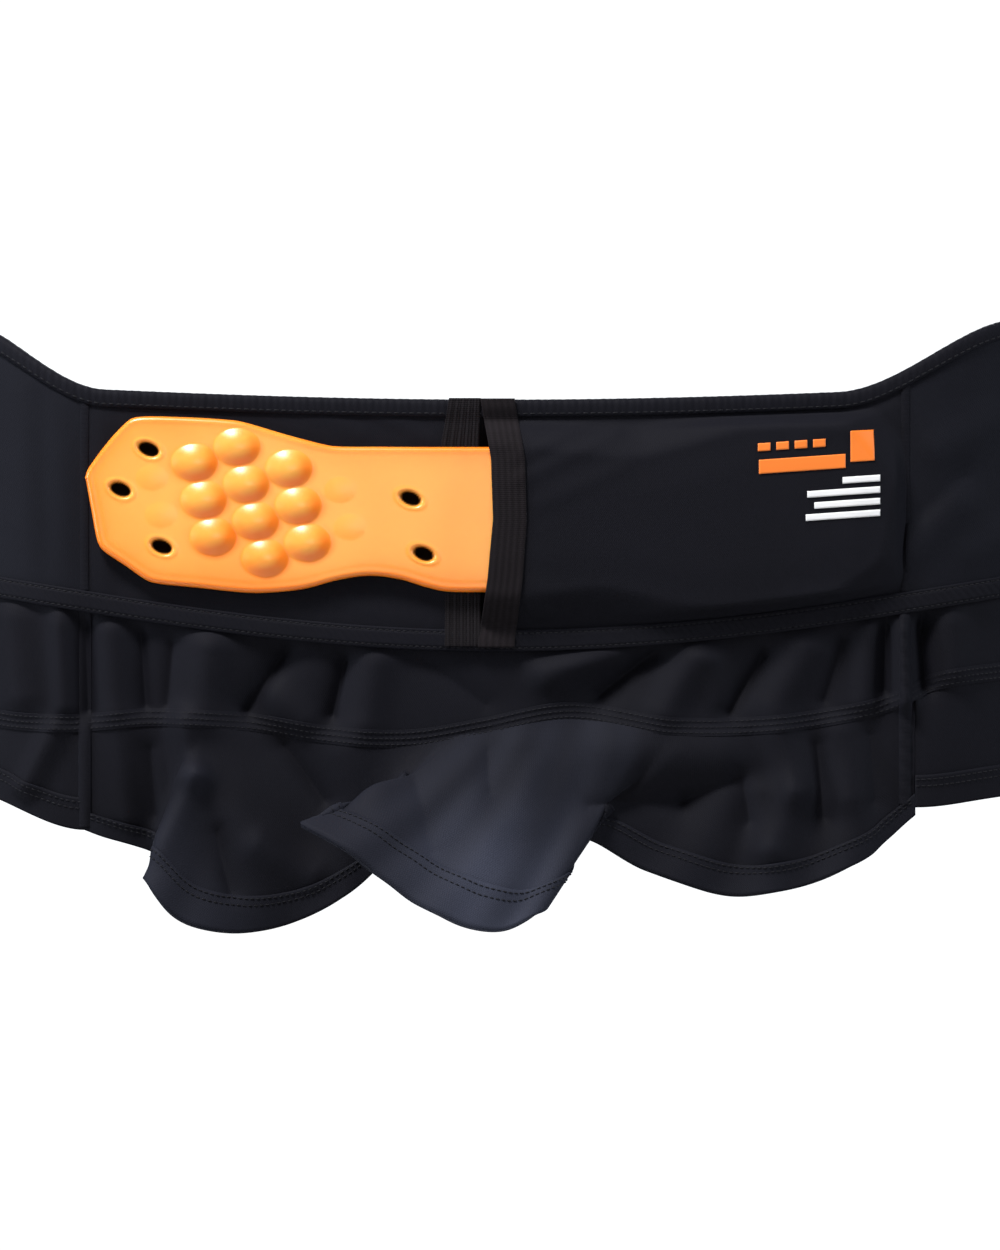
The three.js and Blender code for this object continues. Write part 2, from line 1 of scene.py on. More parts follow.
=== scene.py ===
# %% [markdown]
# # Padded impact shorts
# A pair of short snow-sport trunks, turned inside out and standing open as if worn. The waistband is
# a ring of two knit layers. At the back those layers make two pockets with their mouths facing each
# other, and a long soft pad bridges them. Everything below hangs from two horizontal seams.
#
# The solid model gives the frame: its bodies, its sizes and where each layer lies. Here every layer
# is made again as a thin surface with the folds, seams and thread that cloth has.

# %% Load the frame and note its box
import math
import bpy
import numpy as np
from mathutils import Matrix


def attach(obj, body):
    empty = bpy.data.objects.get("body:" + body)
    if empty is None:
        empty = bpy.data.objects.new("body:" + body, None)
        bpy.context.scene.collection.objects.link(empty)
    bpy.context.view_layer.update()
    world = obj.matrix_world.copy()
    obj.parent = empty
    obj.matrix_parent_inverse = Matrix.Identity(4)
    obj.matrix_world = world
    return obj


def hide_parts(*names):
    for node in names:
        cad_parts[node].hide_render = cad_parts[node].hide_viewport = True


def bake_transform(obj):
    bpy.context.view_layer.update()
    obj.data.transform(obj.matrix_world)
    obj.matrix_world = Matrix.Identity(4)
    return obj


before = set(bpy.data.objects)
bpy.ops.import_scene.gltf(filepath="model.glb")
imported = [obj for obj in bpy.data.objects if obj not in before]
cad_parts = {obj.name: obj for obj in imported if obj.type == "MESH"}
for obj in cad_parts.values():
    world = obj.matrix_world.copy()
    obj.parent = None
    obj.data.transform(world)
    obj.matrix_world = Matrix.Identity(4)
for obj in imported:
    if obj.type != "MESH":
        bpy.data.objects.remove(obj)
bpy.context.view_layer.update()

# %% [markdown]
# The camera stands level with the garment and looks straight at its back, where the
# pockets and the pad are. A long lens keeps the width of the waistband true.

# %% Camera
scene = bpy.context.scene
EYE_HEIGHT = -0.090
EYE_DISTANCE = 1.5
FRAME_HEIGHT = 0.500  # metres of the waistband's plane that fit the frame's height

lens = bpy.data.cameras.new("camera")
lens.sensor_width = 36
lens.lens = 36 * EYE_DISTANCE / FRAME_HEIGHT
camera = bpy.data.objects.new("camera", lens)
camera.location = (0, -EYE_DISTANCE, EYE_HEIGHT)
camera.rotation_euler = (math.radians(90), 0, 0)
scene.collection.objects.link(camera)
scene.camera = camera
print("lens", round(lens.lens, 1), "mm")

# %% [markdown]
# Studio light. Black cloth shows its folds only where light grazes it, so the strongest panel hangs
# above, in front and to the left. Cool panels at both sides and a faint one in front open the folds,
# and one behind lights the far side. The sky is white to the camera but dim as a light, which gives a
# clean white ground without washing out the black.

# %% Lights
def panel_light(name, place, aim, size, watts, colour=(1, 1, 1)):
    """A rectangular area light at place, turned to look at aim."""
    data = bpy.data.lights.new(name, "AREA")
    data.shape = "RECTANGLE"
    data.size, data.size_y = size
    data.energy = watts
    data.color = colour
    lamp = bpy.data.objects.new(name, data)
    lamp.location = place
    away = np.array(place) - np.array(aim)
    flat = math.hypot(away[0], away[1])
    lamp.rotation_euler = (math.atan2(flat, away[2]), 0, math.atan2(away[0], -away[1]))
    scene.collection.objects.link(lamp)


panel_light("key", (-0.50, -0.55, 1.10), (0, 0, -0.1), (0.4, 0.3), 30, (1.0, 0.99, 0.98))
panel_light("left", (-1.25, -0.32, 0.10), (0, 0, -0.12), (0.25, 0.6), 9, (0.84, 0.90, 1.0))
panel_light("right", (1.25, -0.30, 0.30), (0, 0, -0.12), (0.25, 0.6), 8, (0.84, 0.90, 1.0))
panel_light("front", (0.10, -1.60, 0.10), (0, 0, -0.05), (0.6, 0.4), 3, (1.0, 0.97, 0.94))
panel_light("rear", (0.50, 1.50, 0.90), (0, 0, -0.1), (0.8, 0.6), 16, (0.95, 0.97, 1.0))

SKY_SEEN, SKY_LIGHT = 1.05, 0.10
world = bpy.data.worlds.new("studio")
world.use_nodes = True
sky = world.node_tree
seen = sky.nodes.new("ShaderNodeLightPath").outputs["Is Camera Ray"]
glow = sky.nodes.new("ShaderNodeMath")
glow.operation = "MULTIPLY_ADD"  # strength = seen by the camera * SKY_SEEN + SKY_LIGHT
sky.links.new(seen, glow.inputs[0])
glow.inputs[1].default_value, glow.inputs[2].default_value = SKY_SEEN, SKY_LIGHT
sky.links.new(glow.outputs[0], sky.nodes["Background"].inputs["Strength"])
sky.nodes["Background"].inputs["Color"].default_value = (0.96, 0.98, 1.0, 1)
scene.world = world
scene.view_settings.view_transform = "Standard"

# %% [markdown]
# A few helpers carry all of the finishes. One turns a colour as a designer writes it into the linear
# values that a shader needs, one adds a node with its settings and links in one call, and the others
# are the steps that every finish here shares: arithmetic, noise, a mix of two colours and a bump.

# %% Colour and node helpers
def linear(hex_colour):
    """sRGB hex to linear RGBA: c / 12.92 below 0.04045, else ((c + 0.055) / 1.055) ** 2.4."""
    c = np.array([int(hex_colour[i : i + 2], 16) for i in (1, 3, 5)]) / 255
    c = np.where(c <= 0.04045, c / 12.92, ((c + 0.055) / 1.055) ** 2.4)
    return (*c.tolist(), 1.0)


def node(tree, kind, settings=(), inputs=(), links=()):
    """Adds a node. settings are its own properties, inputs its socket values, and links pairs of
    (socket of this node, output of another)."""
    made = tree.nodes.new(kind)
    for key, value in dict(settings).items():
        setattr(made, key, value)
    for key, value in dict(inputs).items():
        made.inputs[key].default_value = value
    for key, source in dict(links).items():
        tree.links.new(source, made.inputs[key])
    return made


def finish_of(name, colour, roughness, **sockets):
    """A material with one Principled shader. Returns the material, its tree and the shader."""
    made = bpy.data.materials.new(name)
    made.use_nodes = True
    tree = made.node_tree
    shader = tree.nodes["Principled BSDF"]
    shader.inputs["Base Color"].default_value = linear(colour)
    shader.inputs["Roughness"].default_value = roughness
    for key, value in sockets.items():
        shader.inputs[key.replace("_", " ")].default_value = value
    return made, tree, shader


def math_node(tree, operation, a, b=None):
    """One arithmetic step. a and b are numbers or outputs of other nodes."""
    made = node(tree, "ShaderNodeMath", {"operation": operation})
    for i, value in enumerate((a, b)):
        if value is None:
            continue
        if isinstance(value, (int, float)):
            made.inputs[i].default_value = value
        else:
            tree.links.new(value, made.inputs[i])
    return made.outputs[0]


def noise(tree, scale, detail, **more):
    """Soft noise over the object's own place, scale in waves to the metre."""
    place = node(tree, "ShaderNodeTexCoord").outputs["Object"]
    values = {"Scale": scale, "Detail": detail, **more}
    return node(tree, "ShaderNodeTexNoise", inputs=values, links={"Vector": place}).outputs["Fac"]


def mixed(tree, factor, low, high, **settings):
    """A colour mix, low at factor 0 and high at 1. Each is a hex colour or another node's output."""
    made = node(tree, "ShaderNodeMix", {"data_type": "RGBA", **settings}, links={"Factor": factor})
    for key, value in (("A", low), ("B", high)):
        if isinstance(value, str):
            made.inputs[key].default_value = linear(value)
        else:
            tree.links.new(value, made.inputs[key])
    return made.outputs["Result"]


def bumped(tree, shader, height, strength, distance):
    """Lets a height tilt the shader's normal; distance is in metres."""
    values = {"Strength": strength, "Distance": distance}
    bump = node(tree, "ShaderNodeBump", inputs=values, links={"Height": height})
    tree.links.new(bump.outputs["Normal"], shader.inputs["Normal"])


def cloth_axes(tree):
    """The cloth map's two axes in metres, as outputs X and Y."""
    uv = node(tree, "ShaderNodeUVMap", {"uv_map": "cloth"}).outputs["UV"]
    return node(tree, "ShaderNodeSeparateXYZ", links={"Vector": uv}).outputs


def value_of(tree, attribute):
    """A number stored at the mesh's vertices."""
    return node(tree, "ShaderNodeAttribute", {"attribute_name": attribute}).outputs["Fac"]


# %% [markdown]
# The knit. Warp-knit jersey is rows of tiny slanted loops: each column zigzags as it climbs. The
# height is a cosine across the columns whose phase swings with the height, so it needs only the
# cloth's own coordinates in millimetres. A slow noise varies the black, and the sheen lobe gives the
# greyish bloom of brushed nylon at low angles.

# %% Knit finish
PAINTED_LIGHT_KNIT = "#363946"  # painted light: the paler knit mixed in where the vertices' pale value is 1, on the folds of the legs that face the lights


def knit(name, colour, pale, sheen, wale=0.9, depth=0.05):
    """height = cos(2 pi (u / wale + 0.3 sin(2 pi v / (1.6 wale)))), with u and v in millimetres."""
    made, tree, shader = finish_of(
        name, colour, 0.7, Sheen_Weight=sheen, Sheen_Roughness=0.3, Specular_IOR_Level=0.07
    )
    shader.inputs["Sheen Tint"].default_value = linear("#AEB6CC")
    axes = cloth_axes(tree)
    u = math_node(tree, "MULTIPLY", axes["X"], 1000 / wale)
    v = math_node(tree, "MULTIPLY", axes["Y"], 1000 / (1.6 * wale) * 2 * math.pi)
    swing = math_node(tree, "MULTIPLY", math_node(tree, "SINE", v), 0.3)
    phase = math_node(tree, "MULTIPLY", math_node(tree, "ADD", u, swing), 2 * math.pi)
    loops = math_node(tree, "COSINE", phase)
    tone = mixed(tree, noise(tree, 14, 4, Roughness=0.6), colour, pale)
    # The vertices' pale value mixes in the paler knit. This is painted light on the back of the legs, not a
    # second side of the cloth.
    painted_light = mixed(tree, value_of(tree, "pale"), tone, PAINTED_LIGHT_KNIT)
    tree.links.new(painted_light, shader.inputs["Base Color"])
    fuzz = math_node(tree, "MULTIPLY", noise(tree, 900, 3), 0.8)
    bumped(tree, shader, math_node(tree, "ADD", loops, fuzz), 0.5, depth / 1000)
    return made


KNIT = knit("black_knit", "#101015", "#15151C", 0.035)
# A lighter copy of the knit with a little more sheen, for the facing at the sides and the front: painted
# light standing in for the side lamps.
SIDE_LIT_KNIT = knit("side_lit_knit", "#111117", "#181920", 0.045)
print("knit ready")

# %% [markdown]
# Tapes and bindings are woven elastic: ribs run across the tape, crossed by fine lines along it. The
# same two cosines at other pitches give all of them.

# %% Ribbed tape finish
def ribbed(name, colour, pale, across=1.5, along=2.3, depth=0.12):
    """height = cos(2 pi u / across) + 0.5 cos(2 pi v / along), u along the tape and v over it."""
    made, tree, shader = finish_of(name, colour, 0.8, Sheen_Weight=0.03, Specular_IOR_Level=0.08)
    shader.inputs["Sheen Tint"].default_value = linear("#B8B0C0")
    axes = cloth_axes(tree)
    turns = 2000 * math.pi  # radians for each millimetre of pitch, from a map in metres
    rib = math_node(tree, "COSINE", math_node(tree, "MULTIPLY", axes["X"], turns / across))
    line = math_node(tree, "COSINE", math_node(tree, "MULTIPLY", axes["Y"], turns / along))
    height = math_node(tree, "ADD", rib, math_node(tree, "MULTIPLY", line, 0.5))
    # The colour follows the ribs' height: the grooves are painted darker and the rib tops lighter, as painted
    # shade and light on the ribs.
    factor = math_node(tree, "MULTIPLY_ADD", height, 0.25)  # the node's own third value is added
    tree.links.new(mixed(tree, factor, colour, pale), shader.inputs["Base Color"])
    bumped(tree, shader, height, 0.7, depth / 1000)
    return made


BINDING = ribbed("binding", "#131012", "#1D191C", across=2.6, along=0.8, depth=0.1)
TAPE = ribbed("tape", "#110F11", "#1B181B", across=1.4, along=0.8, depth=0.12)
THREAD, _, _ = finish_of("thread", "#141419", 0.6, Sheen_Weight=0.03, Specular_IOR_Level=0.15)
ELASTIC = ribbed("elastic", "#C9C5BE", "#E8E4DC", across=1.0, along=0.9)
print("tapes ready")

# %% [markdown]
# ## The shape of the garment
# Seen from above the waist is a racetrack: straight back and front, rounded sides. Every layer is
# that path pushed in or out, between two of the horizontal lines below, so one path function and a
# few line functions place all of the cloth. Lengths are in millimetres until a mesh is made.

# %% Ring path
FLAT_HALF, SIDE_REACH, DEPTH, SEAM_AT = 168.0, 54.0, 90.0, 166.0
CLOTH = 1.1

LOOK_ROUND = 1.5  # mm to either side of a point, to find its direction


def running(steps):
    """The running sum of the steps, starting at 0."""
    return np.concatenate([[0.0], np.cumsum(steps)])


turn = np.linspace(-np.pi / 2, np.pi / 2, 181)
right_x, left_x = FLAT_HALF + SIDE_REACH * np.cos(turn), -FLAT_HALF + SIDE_REACH * np.cos(turn + np.pi)
right_y, left_y = (DEPTH / 2 * (1 + np.sin(angle)) for angle in (turn, turn + np.pi))
_track_x = np.concatenate([[0.0], right_x, left_x, [0.0]])
_track_y = np.concatenate([[0.0], right_y, left_y, [0.0]])
_track_s = running(np.hypot(np.diff(_track_x), np.diff(_track_y)))
RING = float(_track_s[-1])


def around(s):
    """Place and outward direction at a distance s along the racetrack, from the centre back."""
    s = np.asarray(s, float) % RING
    x, y = np.interp(s, _track_s, _track_x), np.interp(s, _track_s, _track_y)
    a, b = (s - LOOK_ROUND) % RING, (s + LOOK_ROUND) % RING
    tx = np.interp(b, _track_s, _track_x) - np.interp(a, _track_s, _track_x)
    ty = np.interp(b, _track_s, _track_y) - np.interp(a, _track_s, _track_y)
    size = np.hypot(tx, ty)
    return x, y, ty / size, -tx / size


def pushed(ring, out, z):
    """Points of the ring pushed outward by out, at heights z. ring is what around() returns."""
    x, y, nx, ny = ring
    return np.stack([x + nx * out, y + ny * out, z + 0 * x], axis=-1)


print("waist", round(RING / 1000, 3), "m round")

# %% [markdown]
# The edges and seams run round the garment as lines: each gives a height for a place on the ring. At
# the back they follow the garment's own waves, and at the front they are plain curves, a little lower.

# %% Lines of the garment
def smooth(t):
    """0 below 0, 1 above 1, and 3t^2 - 2t^3 between."""
    t = np.clip(t, 0, 1)
    return t * t * (3 - 2 * t)


def smile(x):
    """A shallow rise to both sides: 1 - cos(pi x / 400)."""
    return 1 - np.cos(np.pi * x / 400)


def frontness(y):
    """0 at the back and 1 at the front."""
    return smooth(y / DEPTH)


def spline(points, count):
    """A centripetal Catmull-Rom curve through the points, resampled to even steps. Each stretch
    blends its four neighbours by their square-root chord lengths."""
    p = np.asarray(points, float)
    p = np.vstack([2 * p[0] - p[1], p, 2 * p[-1] - p[-2]])
    knots = running(np.sqrt(np.linalg.norm(np.diff(p, axis=0), axis=1)))
    t = np.linspace(knots[1], knots[-2], 40 * len(p))
    i = np.clip(np.searchsorted(knots, t, side="right") - 1, 1, len(p) - 3)
    k = [knots[i + j][:, None] for j in (-1, 0, 1, 2)]
    q = [p[i + j] for j in (-1, 0, 1, 2)]
    t = t[:, None]
    mix = lambda a, b, ka, kb: ((kb - t) * a + (t - ka) * b) / (kb - ka)
    a1, a2, a3 = (mix(q[j], q[j + 1], k[j], k[j + 1]) for j in range(3))
    b1, b2 = mix(a1, a2, k[0], k[2]), mix(a2, a3, k[1], k[3])
    curve = mix(b1, b2, k[1], k[2])
    along = running(np.linalg.norm(np.diff(curve, axis=0), axis=1))
    even = np.linspace(0, along[-1], count)
    return np.stack([np.interp(even, along, curve[:, j]) for j in range(curve.shape[1])], axis=-1)


def top_line(x, y):
    """The top edge: a shallow smile that climbs over the hips and drops at the front."""
    hips = 30 * smooth((-x - 158) / 68) + 28 * smooth((x - 135) / 78)
    return 6 * smile(x) + hips - 14 * frontness(y)


def waist_line(x, y):
    """The seam under the waistband."""
    return -96.3 + 21.5 * smile(x) + 3 * frontness(y)


_yoke = spline(
    [(-224, -127), (-200, -128.5), (-170, -129.3), (-140, -127), (-100, -129), (-68, -134),
     (-36, -135.4), (-8, -131), (27, -124.5), (70, -130.5), (110, -129.6), (152, -122.4),
     (177, -112), (200, -109), (224, -107)],
    900,
)


def yoke_line(x, y):
    """The seam between yoke and legs: a wavy line at the back, a plain smile at the front."""
    back = np.interp(x, _yoke[:, 0], _yoke[:, 1])
    front = -131.4 + 22 * smile(x) + 6
    return back + (front - back) * frontness(y)


def side_hem(x, y):
    """The hem at the sides and the front."""
    left = -172 + 15 * smooth((-x - SEAM_AT) / 50)
    right = -163 + 5 * smooth((x - SEAM_AT) / 50)
    front = -170 + 10 * smile(x)
    return np.where(x < 0, left, right) * (1 - frontness(y)) + front * frontness(y)


# %% [markdown]
# ## From arrays to cloth
# A surface is a grid of points. One helper turns it into a mesh with a cloth map in metres, so that
# weave and ribs keep their real size, and gives it thickness with a Solidify modifier. That beats
# modelling both faces by hand: an edge is then as thick as the knit everywhere.

# %% Surface helper
CORNERS = ((0, 0), (1, 0), (1, 1), (0, 1))


def grid(u, v, rows, columns):
    """A grid's quads and their map. u and v are the lengths along its two directions; where there is
    one more of them than rows or columns, the grid closes on itself that way."""
    i, j = np.meshgrid(np.arange(len(u) - 1), np.arange(len(v) - 1), indexing="ij")
    faces = np.stack([((i + a) % rows) * columns + (j + b) % columns for a, b in CORNERS], axis=-1)
    uv = np.stack([np.stack([u[i + a], v[j + b]], axis=-1) for a, b in CORNERS], axis=2)
    return faces.reshape(-1, 4), uv.reshape(-1, 2)


def add_values(mesh, name, values):
    """A number at each vertex, for a finish to read."""
    layer = mesh.attributes.new(name, "FLOAT", "POINT")
    layer.data.foreach_set("value", np.asarray(values, np.float32).ravel())


def surface(name, points, material, thickness=CLOTH, closed=False, across=False, pale=None):
    """points is (rows, columns, 3) in millimetres. The map's u follows the rows' length and v the
    columns'. closed joins the last row to the first. across swaps the two, for a tape's ribs."""
    points = np.asarray(points, float)
    u = running(np.linalg.norm(np.diff(points, axis=0), axis=2).mean(axis=1))
    v = running(np.linalg.norm(np.diff(points, axis=1), axis=2).mean(axis=0))
    if closed:
        u = np.append(u, u[-1] + np.linalg.norm(points[0] - points[-1], axis=1).mean())
    faces, uv = grid(u, v, *points.shape[:2])
    if across:
        uv = uv[:, ::-1]
    mesh = mesh_from(name, points.reshape(-1, 3), faces, uv)
    mesh.materials.append(material)
    # pale holds a piece's painted light, one value for each vertex.
    if pale is not None:
        add_values(mesh, "pale", pale)
    made = bpy.data.objects.new(name, mesh)
    scene.collection.objects.link(made)
    solid = made.modifiers.new("cloth", "SOLIDIFY")
    solid.thickness = thickness / 1000
    solid.offset = 0
    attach(made, "shorts")
    return made


def mesh_from(name, points, faces, uv=None):
    """A smooth mesh from points in millimetres and quads, written in whole arrays."""
    mesh = bpy.data.meshes.new(name)
    mesh.vertices.add(len(points))
    mesh.vertices.foreach_set("co", (np.asarray(points, np.float32) / 1000).ravel())
    mesh.loops.add(faces.size)
    mesh.loops.foreach_set("vertex_index", faces.astype(np.int32).ravel())
    mesh.polygons.add(len(faces))
    mesh.polygons.foreach_set("loop_start", np.arange(0, faces.size, faces.shape[1], dtype=np.int32))
    mesh.update(calc_edges=True)
    if uv is not None:
        layer = mesh.uv_layers.new(name="cloth")
        layer.data.foreach_set("uv", (np.asarray(uv, np.float32) / 1000).ravel())
    mesh.polygons.foreach_set("use_smooth", np.ones(len(faces), bool))
    mesh.validate()
    return mesh


def sweep(name, centre, out, up, section, material):
    """Carries a closed section round a closed path. Each point of the section is (outward, up) from
    the path, so the surface is path + outward * out + up * upwards."""
    section = np.asarray(section, float)
    ring = (
        centre[:, None, :]
        + section[None, :, :1] * out[:, None, :]
        + section[None, :, 1:] * up[:, None, :]
    )
    length = running(np.linalg.norm(np.diff(centre, axis=0), axis=1))
    length = np.append(length, length[-1] + np.linalg.norm(centre[0] - centre[-1]))
    girth = running(np.linalg.norm(np.roll(section, -1, axis=0) - section, axis=1))
    faces, uv = grid(length, girth, *ring.shape[:2])
    mesh = mesh_from(name, ring.reshape(-1, 3), faces, uv)
    mesh.materials.append(material)
    made = bpy.data.objects.new(name, mesh)
    scene.collection.objects.link(made)
    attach(made, "shorts")
    return made


print("helpers ready")

# %% [markdown]
# Thread. A coverstitch shows as rows of short straight stitches. Each one is a small six-sided
# capsule laid on the cloth, and a whole row is one mesh, so a seam reads as thread up close.

# %% Stitch helper
def stitches(name, path, normal, pitch, fill=0.72, radius=0.26):
    """Capsules along a path. Stitch k spans from pitch k to pitch (k + fill). Each has five rings,
    which are thin and sunk into the cloth at the ends."""
    path, normal = np.asarray(path, float), np.asarray(normal, float)
    along = running(np.linalg.norm(np.diff(path, axis=0), axis=1))
    count = int(along[-1] / pitch)
    share = np.array([0.0, 0.12, 0.5, 0.88, 1.0]) * fill
    girth = np.array([0.25, 0.9, 1.0, 0.9, 0.25]) * radius
    lift = np.array([-0.4, 0.3, 0.6, 0.3, -0.4]) * radius
    at = (np.arange(count)[:, None] + share[None, :]) * pitch
    pick = lambda values, s: np.stack([np.interp(s, along, values[:, k]) for k in range(3)], axis=-1)
    centre, out = pick(path, at), pick(normal, at)
    out /= np.linalg.norm(out, axis=-1, keepdims=True)
    way = pick(path, at + 0.3) - pick(path, at - 0.3)
    way /= np.linalg.norm(way, axis=-1, keepdims=True) + 1e-9
    side = np.cross(way, out)
    angle = np.arange(6) * np.pi / 3
    ring = (
        np.cos(angle)[None, None, :, None] * side[:, :, None, :]
        + np.sin(angle)[None, None, :, None] * out[:, :, None, :]
    ) * girth[None, :, None, None]
    points = centre[:, :, None, :] + out[:, :, None, :] * lift[None, :, None, None] + ring
    k, a, b = np.meshgrid(np.arange(count), np.arange(4), np.arange(6), indexing="ij")
    index = lambda da, db: (k * 5 + a + da) * 6 + (b + db) % 6
    faces = np.stack([index(0, 0), index(0, 1), index(1, 1), index(1, 0)], axis=-1).reshape(-1, 4)
    mesh = mesh_from(name, points.reshape(-1, 3), faces)
    mesh.materials.append(THREAD)
    made = bpy.data.objects.new(name, mesh)
    scene.collection.objects.link(made)
    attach(made, "shorts")


def stitch_row(name, s, out, z, **kind):
    """A row of stitches round the ring at heights z, pushed outward by out."""
    ring = around(s)
    stitches(name, pushed(ring, out, z), np.stack([ring[2], ring[3], 0 * ring[2]], axis=-1), **kind)


def normals_of(points):
    """Unit normals of a grid: the cross product of its two directions."""
    n = np.cross(np.gradient(points, axis=0), np.gradient(points, axis=1))
    return n / (np.linalg.norm(n, axis=-1, keepdims=True) + 1e-12)


def ridge(x, z, start, end, width, height):
    """With d the distance from (x, z) to the stretch start-end: a ridge is rounded, as
    height * exp(-(d / width)^2), and a valley is pinched, as height * exp(-d / width)."""
    a, b = np.array(start, float), np.array(end, float)
    way = b - a
    t = np.clip(((x - a[0]) * way[0] + (z - a[1]) * way[1]) / (way @ way), 0, 1)
    d2 = (x - a[0] - t * way[0]) ** 2 + (z - a[1] - t * way[1]) ** 2
    if height < 0:
        return height * np.exp(-(np.sqrt(d2 + 0.5) - 0.7) / (0.85 * width))
    return height * np.exp(-d2 / (1.25 * width) ** 2)


def creases(x, z, list_of_ridges):
    """The sum of many ridges; a negative height is a valley."""
    total = np.zeros(np.broadcast(x, z).shape)
    for start, end, width, height in list_of_ridges:
        total = total + ridge(x, z, start, end, width, height)
    return total


RIGHT_END = 162.0  # the back's right seam; beyond it the facing takes a lighter, sheenier copy of the knit, painted light for the side lamps
LEFT_END = -166.0
print("stitches ready")

# %% [markdown]
# ## Waistband
# The inner shell is one long strip of firm knit, cut on the fold and sewn into a loop. It dishes away
# behind the pockets so that the pad has room. One loop, rather than four panels, leaves no gap to see
# through, though the real one may be cut in parts.

# %% Waistband shell
def pillow(x, below, above, ramp):
    """1 inside the pocket and 0 at its seams, easing over ramp. below and above are the distances to
    the seams under and over a point."""
    ends = smooth((RIGHT_END + 3 - np.abs(x)) / 12)
    return smooth((below - 3.5) / ramp) * smooth((above - 7.5) / ramp) * ends


ring_s = np.linspace(0, RING, 720, endpoint=False)
ring_x, ring_y, ring_nx, ring_ny = around(ring_s)
ring_top, ring_waist = top_line(ring_x, ring_y), waist_line(ring_x, ring_y)


def band(s, low, high, rows, push):
    """A strip of the ring: rows heights between the lines low and high, pushed outward by the array
    that push(x, y, z, share) returns."""
    ring = [part[:, None] for part in around(s)]
    share = np.linspace(0, 1, rows)[None, :]
    z = low[:, None] + (high - low)[:, None] * share
    return pushed(ring, push(ring[0] + 0 * share, ring[1] + 0 * share, z, share + 0 * z), z)


def shell_push(x, y, z, share):
    """Just inside the ring, and 4.5 mm deeper behind the pockets."""
    dish = 4.5 * pillow(x, z - waist_line(x, y), top_line(x, y) - z, 12)
    return -0.6 - np.where(y < 1e-6, dish, 0)


shell_points = band(ring_s, ring_waist + 0.3, ring_top - 1.2, 24, shell_push)
shell = surface("waistband_shell", shell_points, KNIT, 1.1, closed=True)
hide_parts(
    "back_waistband_shell", "front_waistband_shell", "left_waistband_shell", "right_waistband_shell"
)
print("shell", len(shell.data.polygons), "faces")

# %% [markdown]
# The outer layer of the band at the sides and the front is a facing of the same knit. It is a little
# longer than the shell, so it stands in soft upright waves near the left seam, where the elastic pulls.

# %% Facing
facing_s = np.linspace(RIGHT_END, RING + LEFT_END, 460)


def facing_push(x, y, z, share):
    """Three upright waves at the left, slanted pulls at the right and a swell at the front."""
    wave = 0.9 * ridge(x, z, (-176, 0), (-174, -70), 5, 1)
    wave = wave + 0.8 * ridge(x, z, (-190, 4), (-187, -70), 5, 1)
    wave = wave - 0.5 * ridge(x, z, (-183, 0), (-181, -70), 4, 1)
    wave = wave + creases(x, z, [
        ((165, -60), (182, -42), 7, 2.4), ((168, -46), (186, -30), 4, -1.6),
        ((176, -20), (196, -8), 6, 1.4), ((188, -62), (200, -56), 6, 1.6),
    ])
    swell = 0.5 * np.sin(x / 9.0) * frontness(y) * np.sin(np.pi * share)
    return 1.0 + (wave + swell) * np.sin(np.pi * share) ** 0.5


fx, fy, _, _ = around(facing_s)
facing_points = band(facing_s, waist_line(fx, fy) + 0.3, top_line(fx, fy) - 5, 30, facing_push)
# The facing takes the lighter copy of the knit, which is painted light.
facing = surface("facing", facing_points, SIDE_LIT_KNIT, 1.0)
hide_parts("left_facing", "right_facing", "front_facing")
print("facing", len(facing.data.polygons), "faces")

# %% [markdown]
# ## Pockets
# The left pocket's front lies flat, because the pad's left half hangs outside it. The right pocket
# holds the pad, so its front is stretched over the foam: it sits on a height field that follows the
# pad's own outline at a distance, as a taut knit does.

# %% Pad outline
PAD_MIDDLE = -4.8
_top = [
    (-165.4, -31), (-164.6, -28.4), (-156, -16.5), (-148.4, -8.6), (-146.4, -7.5), (-143, -6.9),
    (-124, -7.2), (-107, -8.3), (-103, -8.9), (-84, -14.4), (-70, -18.0), (-66, -18.7), (-48, -18.9),
    (-30, -19.0), (PAD_MIDDLE, -19.0),
]
_bottom = [
    (PAD_MIDDLE, -77), (-22, -76.6), (-30, -74.8), (-40, -71.8), (-52, -70.4), (-64, -72), (-78, -75.6),
    (-90, -77), (-100, -77.2), (-122, -75), (-137, -73.4), (-140.5, -72.4), (-150, -66),
    (-158.4, -60.2), (-160.2, -57.6), (-163, -44), (-165.4, -31),
]
PAD_SINKS = 4.8  # how much lower the hidden half lies
left_top, left_bottom = spline(_top, 170), spline(_bottom, 180)


def mirrored(edge):
    """The right half: the same edge turned over about the middle, sinking to the right."""
    other = edge.copy()
    other[:, 0] = 2 * PAD_MIDDLE - edge[:, 0]
    other[:, 1] = edge[:, 1] - PAD_SINKS * smooth((other[:, 0] - PAD_MIDDLE) / 60)
    return other[::-1]


pad_top = np.vstack([left_top, mirrored(left_top)[1:]])
pad_bottom = np.vstack([left_bottom[::-1], mirrored(left_bottom[::-1])[1:]])
pad_edge = np.vstack([pad_top, pad_bottom[::-1]])


